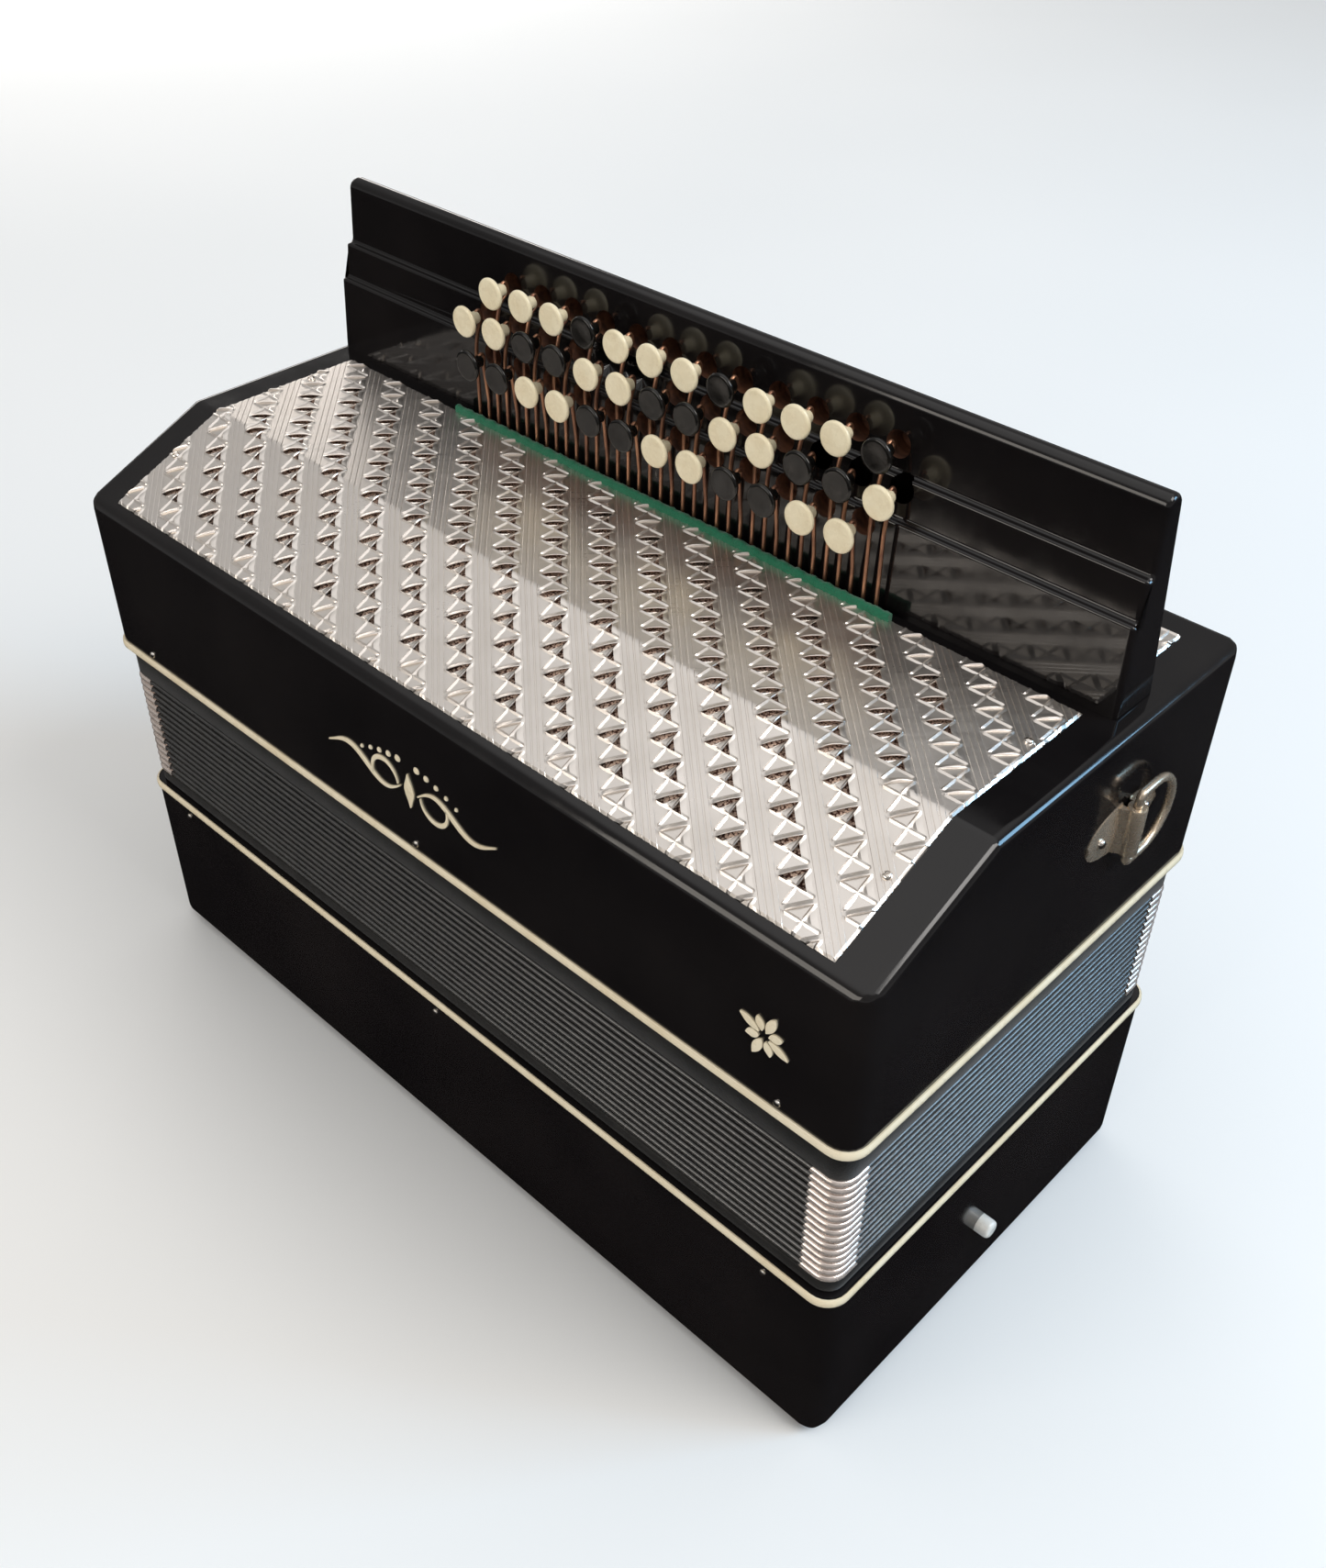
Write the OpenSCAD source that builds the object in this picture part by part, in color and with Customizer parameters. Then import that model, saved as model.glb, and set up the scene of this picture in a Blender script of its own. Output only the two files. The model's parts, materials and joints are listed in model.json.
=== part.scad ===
// Chromatic button accordion, standing on its bass side with the bellows closed.
// +Z points from the bass side up to the treble side, +X runs along the casings,
// and -Y is the front, away from the player. The origin is on the floor, at the centre.

/* [Casings] */
// Length of both casings, along X
casing_l = 420; // [380:5:460]
// Depth of both casings, along Y
casing_d = 210; // [200:2:230]
// Wall thickness of the casings
wall = 6; // [5:0.5:8]
// Radius of the casings' upright corners
corner_r = 9; // [6:1:14]
// Height of the bass casing
bass_h = 87; // [80:1:100]
// Height of the treble casing's flat top above its lower edge
treble_h = 98; // [90:1:110]
// How far the top slopes down at the front
front_drop = 25.6; // [15:0.2:30]
// Depth of the sloping front part of the top
slope_d = 59.5; // [50:0.5:70]
// Height of the feet below the bass casing
foot_gap = 3; // [2:0.5:6]

/* [Bellows] */
// Number of folds
folds = 15; // [12:1:18]
// Height of one closed fold
fold_h = 3.766; // [3.2:0.01:4.4]
// Height of the bellows frame that shows above the bass casing
low_frame_h = 5.5; // [4:0.5:14]
// Height of the bellows frame that shows below the treble casing
high_frame_h = 15; // [6:0.5:18]
// How far the bellows stand back from the casings' faces
bellows_inset = 2.5; // [1.5:0.5:5]

/* [Keyboard] */
// Distance between neighbouring buttons of a row
button_pitch = 17.6; // [16.5:0.1:18.5]
// Diameter of a treble button
button_d = 13; // [11:0.5:14]
// Number of treble buttons
key_count = 37; // [31:3:37]
// Length of the keyboard board at its foot
board_l = 404; // [380:2:410]
// Height of the keyboard board
board_h = 77; // [70:1:90]

/* [Bass side] */
// Number of rows of bass buttons
bass_rows = 5; // [3:1:5]
// Number of bass buttons in a row
bass_columns = 8; // [6:1:10]
// Diameter of a bass button
bass_button_d = 8; // [6:0.5:9]
// Width of the hand strap
strap_w = 62; // [50:2:75]

/* [Hidden] */
$fn = 48;
play = 0.2;

// Heights of the main levels above the floor
bass_z0 = foot_gap;
bass_z1 = bass_z0 + bass_h;
folds_z0 = bass_z1 + low_frame_h;
folds_z1 = folds_z0 + folds * fold_h;
treble_z0 = folds_z1 + high_frame_h;
top_z = treble_z0 + treble_h;
front_z = top_z - front_drop;

// Faces of the casings
end_x = casing_l / 2;
front_y = -casing_d / 2;
bend_y = front_y + slope_d;
slope = front_drop / slope_d;
inner_l = casing_l - 2 * wall;
inner_d = casing_d - 2 * wall;

// Cream strips round the casings' open edges
trim_h = 4;
trim_out = 1;

// Bellows frames, which nest inside the casings' open edges
nest_h = 12;
frame_wall = 8;
bellows_l = casing_l - 2 * bellows_inset;
bellows_d = casing_d - 2 * bellows_inset;
bellows_r = corner_r - bellows_inset + 1;
fin_h = 2.4;
fin_depth = 4;
bellows_wall = 16;
corner_out = 0.6;
corner_reach = 14;

// Sound boards and reed blocks
board_t = 6;
bass_board_z = 69;
treble_board_z = top_z - 57;
reed_block_h = 46;
reed_block_l = 330;
reed_block_w = 30;
reed_cells = 18;

// Grille
grille_t = 1;
grille_x = 192;
grille_front = 6;
grille_back_y = 26.5;
grille_rim = 9;
rear_grille_y0 = 60;
rear_grille_y1 = 90;
slot_pitch = 26;
slot_w = 9;

// Keyboard board, as heights above the flat top and places along Y
tier_y = [31, 35, 39.2];
tier_z = [0, 34.8, 49.6];
tier_lean = 1.3;
board_back_y0 = 54;
board_back_y1 = 48.8;
board_taper = 3;

// Treble keys. Row 0 is the middle tier, row 1 the lowest and row 2 the highest.
key_step = button_pitch / 3;
row_y = [21.8, 17.2, 26.5];
row_z = [45.6, 30, 59.2];
lever_bend_z = [36, 12, 36];
disc_t = 2.6;
hub_d = 5.4;
hub_l = 7;
wire_d = 1.6;
wire_y = 28.2;
axle_r = 1.5;
axle_play = 0.05;
axle_z = top_z - 17;
hinge_d = 7;
key_hub_l = 5;
pallet_w = 4.6;
pallet_l = 34;
pallet_t = 5;
pallet_y = -45;
pallet_gap = 0.1;
arm_w = 2.6;
axle_end_x = key_step * (key_count - 1) / 2 + 8;
slot_x = key_step * (key_count - 1) / 2 + 6;

// Hand bay in the underside of the bass casing
panel_z = 24;
panel_t = 3;
bay_x = 150;
strap_z = 8;
strap_t = 3;
strap_x = 165;
strap_end = 7;
strap_y = 54;
foot_x = 190;
foot_y = 86;
foot_r = 8;
bass_pitch_x = 17;
bass_pitch_y = 14;
bass_row_y = -80;
bass_head_h = 5;
bass_hole_play = 0.4;

// Air button in the right-hand end of the bass casing
air_y = -4;
air_z = 38;
air_r = 4;
air_out = 6;

// Strap brackets, with their hinge upright on each end of the treble casing
ring_y = 35;
ring_z = top_z - 41;
ring_wire_r = 1.6;
ring_play = 0.08;
ring_arm = 10;
ring_r = 15;
knuckle_r = 3.5;
knuckle_l = 20;
plate_t = 1.2;
ring_x = end_x + plate_t + knuckle_r;
petal_r = 8.5;
petal_y = 13;

function pad(n) = n < 10 ? str("0", n) : str(n);
function key_name(i) = str("key_", pad(i + 1));
function key_x(i) = (i - (key_count - 1) / 2) * key_step;

// The keys run up a chromatic scale from an A, and the sharps are black
function is_sharp(i) = len(search(i % 12, [1, 4, 6, 9, 11])) > 0;

SINGLE_NODES = [
    "bass_casing", "bass_panel", "bass_soundboard", "bass_reed_blocks", "bass_trim",
    "bass_bellows_frame", "feet", "hand_strap", "bass_buttons", "air_button",
    "bellows", "bellows_corners", "treble_bellows_frame", "treble_casing", "treble_trim",
    "treble_grille", "treble_soundboard", "treble_reed_blocks", "keyboard_board", "lever_axle",
    "strap_brackets", "strap_ring_right", "strap_ring_left"
];

// ---- shared shapes ----

module rounded_rect(l, d, r) {
    square([l - 2 * r, d], center = true);
    square([l, d - 2 * r], center = true);
    for (sx = [-1, 1], sy = [-1, 1]) {
        translate([sx * (l / 2 - r), sy * (d / 2 - r)]) circle(r);
    }
}

module rect_ring(l, d, r, w) {
    difference() {
        rounded_rect(l, d, r);
        square([l - 2 * w, d - 2 * w], center = true);
    }
}

// A profile given as [y, z] points, drawn out along X and centred
module along_x(length) {
    rotate([90, 0, 90]) translate([0, 0, -length / 2]) linear_extrude(length) children();
}

// ---- bass side ----

module bass_casing() {
    color("black") difference() {
        translate([0, 0, bass_z0]) linear_extrude(bass_h) rounded_rect(casing_l, casing_d, corner_r);
        translate([-inner_l / 2, -inner_d / 2, bass_z0 - 1]) cube([inner_l, inner_d, bass_h + 2]);
        translate([-bay_x, 0, bass_z0 - 1]) cube([2 * bay_x, casing_d, panel_z - bass_z0 + 1]);
        translate([end_x - wall - 1, air_y, air_z]) rotate([0, 90, 0]) cylinder(r = air_r + play, h = wall + 2);
    }
}

function bass_x(i) = (i - (bass_columns - 1) / 2) * bass_pitch_x;
function bass_y(j) = bass_row_y + j * bass_pitch_y;

module at_bass_buttons() {
    for (i = [0:bass_columns - 1], j = [0:bass_rows - 1]) {
        translate([bass_x(i), bass_y(j), 0]) children();
    }
}

module bass_panel() {
    color("black") difference() {
        translate([-inner_l / 2, -inner_d / 2, panel_z]) cube([inner_l, inner_d, panel_t]);
        at_bass_buttons()
            translate([0, 0, panel_z - 1]) cylinder(d = bass_button_d + 2 * bass_hole_play, h = panel_t + 2);
    }
}

module bass_soundboard() {
    color("burlywood") difference() {
        translate([-inner_l / 2, -inner_d / 2, bass_board_z]) cube([inner_l, inner_d, board_t]);
        for (i = [0:11], s = [-1, 1]) {
            translate([(i - 5.5) * 26 - 4, s * 40 - 9, bass_board_z - 1]) cube([8, 18, board_t + 2]);
        }
    }
}

// A wooden block with a row of reed cells cut into each side
module reed_block(z, y) {
    cell = reed_block_l / reed_cells;
    difference() {
        translate([-reed_block_l / 2, y - reed_block_w / 2, z]) cube([reed_block_l, reed_block_w, reed_block_h]);
        for (i = [0:reed_cells - 1], s = [-1, 1]) {
            translate([(i - (reed_cells - 1) / 2) * cell, y + s * reed_block_w / 2, z + reed_block_h / 2])
                cube([cell - 5, 12, reed_block_h - 10], center = true);
        }
    }
}

module bass_reed_blocks() {
    color("tan") {
        reed_block(bass_board_z + board_t, -40);
        reed_block(bass_board_z + board_t, 40);
    }
}

module trim_strip(z) {
    color("wheat") translate([0, 0, z]) linear_extrude(trim_h) difference() {
        rounded_rect(casing_l + 2 * trim_out, casing_d + 2 * trim_out, corner_r + trim_out);
        rounded_rect(casing_l, casing_d, corner_r);
    }
}

module bass_trim() {
    trim_strip(bass_z1 - trim_h);
}

module bass_bellows_frame() {
    color("dimgray") {
        translate([0, 0, bass_z1 - nest_h]) linear_extrude(nest_h) rect_ring(inner_l, inner_d, 1, frame_wall);
        translate([0, 0, bass_z1]) linear_extrude(low_frame_h) rect_ring(bellows_l, bellows_d, bellows_r, wall + frame_wall);
    }
}

module feet() {
    color("dimgray") for (sx = [-1, 1], sy = [-1, 1]) {
        translate([sx * foot_x, sy * foot_y, 0]) cylinder(r = foot_r, h = panel_z);
    }
}

module hand_strap() {
    color("saddlebrown") translate([0, strap_y - strap_w / 2, 0]) {
        translate([-strap_x, 0, strap_z]) cube([2 * strap_x, strap_w, strap_t]);
        for (s = [-1, 1]) {
            translate([s * (strap_x - strap_end / 2) - strap_end / 2, 0, strap_z])
                cube([strap_end, strap_w, panel_z - strap_z]);
        }
    }
}

module bass_buttons() {
    color("ivory") at_bass_buttons() {
        translate([0, 0, panel_z - bass_head_h]) cylinder(d = bass_button_d, h = bass_head_h + panel_t + 1);
        translate([0, 0, panel_z + panel_t + 0.1]) cylinder(d = bass_button_d + 3, h = 2);
        translate([0, 0, panel_z + panel_t]) cylinder(d = 3, h = 32, $fn = 24);
    }
}

module air_button() {
    color("white") translate([end_x + air_out, air_y, air_z]) rotate([0, -90, 0]) {
        cylinder(r = air_r, h = air_out + wall + 3);
        translate([0, 0, air_out + wall + 0.1]) cylinder(r = air_r + 2, h = 2);
        cylinder(r = 1.5, h = 50, $fn = 24);
    }
}

// ---- bellows ----

module bellows() {
    gap_h = fold_h - fin_h;
    color("black") difference() {
        union() {
            translate([0, 0, folds_z0]) linear_extrude(folds * fold_h)
                rounded_rect(bellows_l - 2 * fin_depth, bellows_d - 2 * fin_depth, bellows_r - 2);
            for (i = [0:folds - 1]) {
                translate([0, 0, folds_z0 + i * fold_h + gap_h / 2]) linear_extrude(fin_h)
                    rounded_rect(bellows_l, bellows_d, bellows_r);
            }
        }
        translate([0, 0, folds_z0 + folds * fold_h / 2])
            cube([bellows_l - 2 * bellows_wall, bellows_d - 2 * bellows_wall, folds * fold_h + 2], center = true);
    }
}

module bellows_corners() {
    gap_h = fold_h - fin_h;
    color("silver") for (i = [0:folds - 1]) {
        translate([0, 0, folds_z0 + i * fold_h + gap_h / 2]) linear_extrude(fin_h) intersection() {
            difference() {
                rounded_rect(bellows_l + 2 * corner_out, bellows_d + 2 * corner_out, bellows_r + corner_out);
                rounded_rect(bellows_l, bellows_d, bellows_r);
            }
            for (sx = [-1, 1], sy = [-1, 1]) {
                translate([sx * bellows_l / 2, sy * bellows_d / 2]) square(2 * corner_reach, center = true);
            }
        }
    }
}

// ---- treble side ----

module treble_bellows_frame() {
    color("dimgray") {
        translate([0, 0, treble_z0]) linear_extrude(nest_h) rect_ring(inner_l, inner_d, 1, frame_wall);
        translate([0, 0, folds_z1]) linear_extrude(high_frame_h) rect_ring(bellows_l, bellows_d, bellows_r, wall + frame_wall);
    }
}

// Height of the top surface at a place along Y
function top_at(y) = y < bend_y ? front_z + (y - front_y) * slope : top_z;

// The band that lies between two depths below the top surface, from y0 to y1
module top_band(y0, y1, up, down) {
    polygon([
        [y0, top_at(y0) + up], [bend_y, top_z + up], [y1, top_z + up],
        [y1, top_z - down], [bend_y, top_z - down], [y0, top_at(y0) - down]
    ]);
}

module treble_casing() {
    sink = wall * sqrt(1 + slope * slope);
    color("black") difference() {
        intersection() {
            translate([0, 0, treble_z0]) linear_extrude(treble_h + 1) rounded_rect(casing_l, casing_d, corner_r);
            along_x(casing_l) polygon([
                [front_y, treble_z0], [front_y, front_z], [bend_y, top_z],
                [-front_y, top_z], [-front_y, treble_z0]
            ]);
        }
        along_x(inner_l) polygon([
            [front_y + wall, treble_z0 - 1], [front_y + wall, top_at(front_y + wall) - sink],
            [bend_y, top_z - sink], [-front_y - wall, top_z - sink], [-front_y - wall, treble_z0 - 1]
        ]);
        along_x(2 * (grille_x - grille_rim)) polygon([
            [front_y + grille_front + grille_rim, treble_z0 + wall],
            [front_y + grille_front + grille_rim, top_z + 1],
            [grille_back_y - grille_rim, top_z + 1],
            [grille_back_y - grille_rim, treble_z0 + wall]
        ]);
        translate([-slot_x, grille_back_y - grille_rim - 1, top_z - wall - 1])
            cube([2 * slot_x, tier_y[0] - 0.4 - grille_back_y + grille_rim + 1, wall + 2]);
        translate([-grille_x + grille_rim, rear_grille_y0 + 5, top_z - wall - 1])
            cube([2 * (grille_x - grille_rim), rear_grille_y1 - rear_grille_y0 - 10, wall + 2]);
    }
}

module treble_trim() {
    trim_strip(treble_z0);
}

// Pierced sheet, bent once to follow the top, and a second strip behind the keyboard
module treble_grille() {
    color("silver") {
        difference() {
            along_x(2 * grille_x) top_band(front_y + grille_front, grille_back_y, grille_t, 0);
            for (i = [-6:6]) {
                translate([i * slot_pitch - slot_w / 2, bend_y + 8, top_z - 1]) cube([slot_w, 46, 4]);
                translate([i * slot_pitch - slot_w / 2, front_y + 22, front_z - 1]) cube([slot_w, 30, front_drop + 4]);
            }
        }
        difference() {
            translate([-grille_x, rear_grille_y0, top_z])
                cube([2 * grille_x, rear_grille_y1 - rear_grille_y0, grille_t]);
            for (i = [-6:6]) {
                translate([i * slot_pitch - slot_w / 2, rear_grille_y0 + 9, top_z - 1]) cube([slot_w, 12, 4]);
            }
        }
    }
}

module treble_soundboard() {
    color("burlywood") difference() {
        translate([-inner_l / 2, -inner_d / 2, treble_board_z]) cube([inner_l, inner_d, board_t]);
        for (i = [0:key_count - 1]) {
            translate([key_x(i) - 1.5, pallet_y - 13, treble_board_z - 1]) cube([3, 26, board_t + 2]);
        }
    }
}

module treble_reed_blocks() {
    color("tan") {
        reed_block(treble_board_z - reed_block_h, pallet_y);
        reed_block(treble_board_z - reed_block_h, 20);
    }
}

// Board whose front steps back in tiers, one behind each row of buttons, with sloping ends
module keyboard_board() {
    top_y = tier_y[2] + tier_lean;
    end_tilt = atan2(board_taper, board_h);
    color("black") difference() {
        translate([0, 0, top_z]) along_x(board_l) polygon([
            [tier_y[0], 0], [tier_y[0] + tier_lean, tier_z[1]],
            [tier_y[1], tier_z[1]], [tier_y[1] + tier_lean, tier_z[2]],
            [tier_y[2], tier_z[2]], [top_y, board_h - 3],
            [top_y + 3, board_h], [board_back_y1 - 2, board_h],
            [board_back_y1, board_h - 4], [board_back_y0, 0]
        ]);
        for (s = [-1, 1]) {
            translate([s * board_l / 2, 0, top_z]) rotate([0, -s * end_tilt, 0])
                translate([s * 20, 40, board_h / 2]) cube([40, 60, 2 * board_h], center = true);
        }
    }
}

// Axle of the treble levers, held in a bracket at each end
module lever_axle() {
    bracket_top = axle_z + 4;
    bracket_z = treble_board_z + board_t;
    color("gray") {
        translate([-axle_end_x, wire_y, axle_z]) rotate([0, 90, 0]) cylinder(r = axle_r, h = 2 * axle_end_x);
        for (s = [-1, 1]) {
            translate([s * axle_end_x - 2, wire_y - 7, bracket_z]) cube([4, 14, bracket_top - bracket_z]);
        }
    }
}

// Button, bent lever, hinge tube and pallet of one treble key
module key(i) {
    row = i % 3;
    disc_y = row_y[row];
    button_z = top_z + row_z[row];
    hub_end = disc_y + hub_l;
    half = wire_d / 2;
    bend_z = top_z + lever_bend_z[row];
    arm_z = axle_z - arm_w / 2;
    pallet_z = treble_board_z + board_t + pallet_gap;
    translate([key_x(i), 0, 0]) difference() {
        color(is_sharp(i) ? "black" : "ivory") union() {
            translate([0, disc_y, button_z]) rotate([-90, 0, 0]) cylinder(d = button_d, h = disc_t);
            translate([0, disc_y + 1, button_z]) rotate([-90, 0, 0]) cylinder(d = hub_d, h = hub_l - 1);
            along_x(wire_d) polygon([
                [wire_y - half, axle_z], [wire_y - half, bend_z],
                [hub_end - half, button_z - half], [hub_end - half, button_z + half],
                [hub_end + half, button_z + half], [hub_end + half, button_z - half],
                [wire_y + half, bend_z], [wire_y + half, axle_z]
            ]);
            translate([-key_hub_l / 2, wire_y, axle_z]) rotate([0, 90, 0]) cylinder(d = hinge_d, h = key_hub_l);
            along_x(arm_w) polygon([
                [wire_y, arm_z], [wire_y, arm_z + arm_w], [pallet_y, arm_z + arm_w],
                [pallet_y, pallet_z + 1], [pallet_y + arm_w, pallet_z + 1], [pallet_y + arm_w, arm_z]
            ]);
            translate([-pallet_w / 2, pallet_y - pallet_l / 2, pallet_z]) cube([pallet_w, pallet_l, pallet_t]);
        }
        translate([-key_hub_l, wire_y, axle_z]) rotate([0, 90, 0])
            cylinder(r = axle_r + axle_play, h = 2 * key_hub_l);
    }
}

// ---- strap brackets ----

// Stamped plate with two petals, and the knuckle that holds the ring
module strap_bracket() {
    difference() {
        union() {
            translate([end_x, ring_y, ring_z]) rotate([0, 90, 0]) linear_extrude(plate_t) {
                square([knuckle_l, 14], center = true);
                for (s = [-1, 1]) {
                    translate([0, s * petal_y]) circle(petal_r);
                    translate([-petal_r, s > 0 ? 0 : -petal_y]) square([2 * petal_r, petal_y]);
                }
            }
            translate([ring_x, ring_y, ring_z - knuckle_l / 2]) cylinder(r = knuckle_r, h = knuckle_l);
            translate([end_x, ring_y - 2, ring_z - knuckle_l / 2]) cube([knuckle_r, 4, knuckle_l]);
        }
        translate([ring_x, ring_y, ring_z - knuckle_l]) cylinder(r = ring_wire_r + ring_play, h = 2 * knuckle_l);
    }
}

module strap_brackets() {
    color("silver") {
        strap_bracket();
        mirror([1, 0, 0]) strap_bracket();
    }
}

// Wire ring: an upright pin in the knuckle, two arms and a half-round loop
module strap_ring() {
    color("silver") translate([ring_x, ring_y, ring_z]) {
        translate([0, 0, -ring_r]) cylinder(r = ring_wire_r, h = 2 * ring_r, $fn = 24);
        for (s = [-1, 1]) {
            translate([0, 0, s * ring_r]) sphere(r = ring_wire_r, $fn = 24);
            translate([0, 0, s * ring_r]) rotate([-90, 0, 0]) cylinder(r = ring_wire_r, h = ring_arm, $fn = 24);
        }
        translate([0, ring_arm, 0]) rotate([0, 90, 0]) rotate_extrude(angle = 180)
            translate([ring_r, 0]) circle(ring_wire_r, $fn = 24);
    }
}

module strap_ring_right() {
    strap_ring();
}

module strap_ring_left() {
    mirror([1, 0, 0]) strap_ring();
}

bass_casing();
bass_panel();
bass_soundboard();
bass_reed_blocks();
bass_trim();
bass_bellows_frame();
feet();
hand_strap();
bass_buttons();
air_button();
bellows();
bellows_corners();
treble_bellows_frame();
treble_casing();
treble_trim();
treble_grille();
treble_soundboard();
treble_reed_blocks();
keyboard_board();
lever_axle();
strap_brackets();
strap_ring_right();
strap_ring_left();
for (i = [0:key_count - 1]) {
    key(i);
}
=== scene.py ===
import json
import math

import bmesh
import bpy
from mathutils import Matrix, Vector


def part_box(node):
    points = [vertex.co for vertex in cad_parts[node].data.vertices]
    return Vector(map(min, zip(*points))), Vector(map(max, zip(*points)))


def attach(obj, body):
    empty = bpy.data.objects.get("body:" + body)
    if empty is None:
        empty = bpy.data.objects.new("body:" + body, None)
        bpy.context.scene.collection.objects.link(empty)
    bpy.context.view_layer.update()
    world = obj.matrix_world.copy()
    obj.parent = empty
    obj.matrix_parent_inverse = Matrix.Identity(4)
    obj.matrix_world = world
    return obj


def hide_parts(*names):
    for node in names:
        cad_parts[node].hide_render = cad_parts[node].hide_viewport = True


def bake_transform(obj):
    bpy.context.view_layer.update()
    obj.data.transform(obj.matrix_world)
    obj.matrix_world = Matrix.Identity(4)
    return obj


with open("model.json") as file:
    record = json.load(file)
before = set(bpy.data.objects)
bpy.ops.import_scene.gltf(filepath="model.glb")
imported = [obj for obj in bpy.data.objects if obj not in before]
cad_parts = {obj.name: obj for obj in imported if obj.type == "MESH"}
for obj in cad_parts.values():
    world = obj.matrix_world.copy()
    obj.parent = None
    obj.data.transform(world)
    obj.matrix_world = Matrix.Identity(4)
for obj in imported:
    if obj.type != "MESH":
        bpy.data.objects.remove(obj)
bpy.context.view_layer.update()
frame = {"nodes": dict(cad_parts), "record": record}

# Lengths are in millimetres until a mesh is made, and MM turns them into Blender's metres.
MM = 0.001


def box_mm(node):
    """Lowest and highest corner of a CAD node, in millimetres."""
    low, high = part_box(node)
    return low / MM, high / MM


# ---- places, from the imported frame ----

TREBLE_LOW, TREBLE_HIGH = box_mm("treble_casing")
BASS_LOW, BASS_HIGH = box_mm("bass_casing")
GRILLE_LOW, GRILLE_HIGH = box_mm("treble_grille")
FOLDS_LOW, FOLDS_HIGH = box_mm("bellows")
BOARD_LOW, BOARD_HIGH = box_mm("keyboard_board")
PANEL_LOW = box_mm("bass_panel")[0]
TOP = TREBLE_HIGH.z
END_X = TREBLE_HIGH.x
FRONT_Y = TREBLE_LOW.y
WALL = 6
CORNER_R = 9
EDGE_R = 4.5
CASING_L = 2 * END_X
CASING_D = -2 * FRONT_Y
FRONT_DROP = 25.6
SLOPE_D = 59.5
BEND_Y = FRONT_Y + SLOPE_D
TILT = math.atan2(FRONT_DROP, SLOPE_D)
FOLDS = 15
FOLD_H = (FOLDS_HIGH.z - FOLDS_LOW.z) / FOLDS
BELLOWS_L = FOLDS_HIGH.x * 2
BELLOWS_D = FOLDS_HIGH.y * 2
BELLOWS_R = 7.5
WIRE_Y = 28.2
BRACKET_Y = 35
KEYS = sorted(n for n in frame["nodes"] if n.startswith("key_"))
BODY_OF = {node: body for body, nodes in frame["record"]["behaviour"]["bodies"].items() for node in nodes}
SLOT_OF = {part["node"]: part["material_slot"] for part in frame["record"]["subparts"]}


# ---- materials ----

class Look:
    """A Principled material with short calls for its nodes, in millimetres of the object's own frame."""

    def __init__(self, name, **numbers):
        self.mat = bpy.data.materials.new(name)
        self.mat.use_nodes = True
        self.tree = self.mat.node_tree
        self.bsdf = self.tree.nodes["Principled BSDF"]
        for key, value in numbers.items():
            self.bsdf.inputs[key.replace("_", " ")].default_value = value
        self.coords = self.node("ShaderNodeTexCoord", {}).outputs["Object"]

    def feed(self, socket, value):
        """Links another node's output into a socket, or sets the socket to a number, colour or vector."""
        if isinstance(value, bpy.types.NodeSocket):
            self.tree.links.new(value, socket)
        else:
            socket.default_value = value

    def node(self, kind, inputs, **settings):
        made = self.tree.nodes.new(kind)
        for key, value in settings.items():
            setattr(made, key, value)
        for key, value in inputs.items():
            self.feed(made.inputs[key], value)
        return made

    def place(self, scale=(1, 1, 1), turn=(0, 0, 0)):
        """Coordinates in millimetres times scale, turned about the axes by degrees."""
        turns = {"Vector": self.coords, "Rotation": [math.radians(a) for a in turn]}
        turned = self.node("ShaderNodeVectorRotate", turns, rotation_type="EULER_XYZ")
        factors = {0: turned.outputs["Vector"], 1: [s / MM for s in scale]}
        return self.node("ShaderNodeVectorMath", factors, operation="MULTIPLY").outputs["Vector"]

    def noise(self, size, detail=3, rough=0.5, scale=(1, 1, 1), turn=(0, 0, 0)):
        """Noise whose features are about size millimetres across."""
        inputs = {"Scale": 1 / size, "Detail": detail, "Roughness": rough}
        inputs["Vector"] = self.place(scale, turn)
        return self.node("ShaderNodeTexNoise", inputs).outputs["Fac"]

    def cells(self, size):
        inputs = {"Scale": 1 / size, "Vector": self.place()}
        return self.node("ShaderNodeTexVoronoi", inputs).outputs["Distance"]

    def wave(self, pitch, turn):
        """Bands, one every pitch millimetres."""
        inputs = {"Scale": 2 * math.pi / (20 * pitch), "Vector": self.place(turn=turn)}
        return self.node("ShaderNodeTexWave", inputs, wave_type="BANDS", bands_direction="X").outputs["Fac"]

    def spread(self, value, low, high, start=0.3, end=0.7):
        """value from start to end becomes low to high."""
        inputs = {"Value": value, "From Min": start, "From Max": end, "To Min": low, "To Max": high}
        return self.node("ShaderNodeMapRange", inputs).outputs["Result"]

    def mix(self, factor, a, b):
        """Colour a where factor is 0 and b where it is 1. A colour is three numbers or another output."""
        made = self.node("ShaderNodeMix", {"Factor": factor}, data_type="RGBA")
        for key, value in (("A", a), ("B", b)):
            socket = [s for s in made.inputs if s.name == key and s.type == "RGBA"][0]
            self.feed(socket, (*value, 1) if isinstance(value, tuple) else value)
        return [s for s in made.outputs if s.type == "RGBA"][0]

    def color(self, value, a, b, start=0.3, end=0.7):
        """Base colour a where value is at start, b where it is at end."""
        self.feed(self.bsdf.inputs["Base Color"], self.mix(self.spread(value, 0, 1, start, end), a, b))

    def rough(self, value, low, high, start=0.3, end=0.7):
        """Roughness low where value is at start, high where it is at end."""
        self.feed(self.bsdf.inputs["Roughness"], self.spread(value, low, high, start, end))

    def bump(self, height, depth):
        """Bump whose full height is depth millimetres. A later call sits on the earlier ones."""
        made = self.node("ShaderNodeBump", {"Strength": 1.0, "Distance": depth * MM, "Height": height})
        normal = self.bsdf.inputs["Normal"]
        if normal.is_linked:
            self.feed(made.inputs["Normal"], normal.links[0].from_socket)
        self.feed(normal, made.outputs["Normal"])


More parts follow.
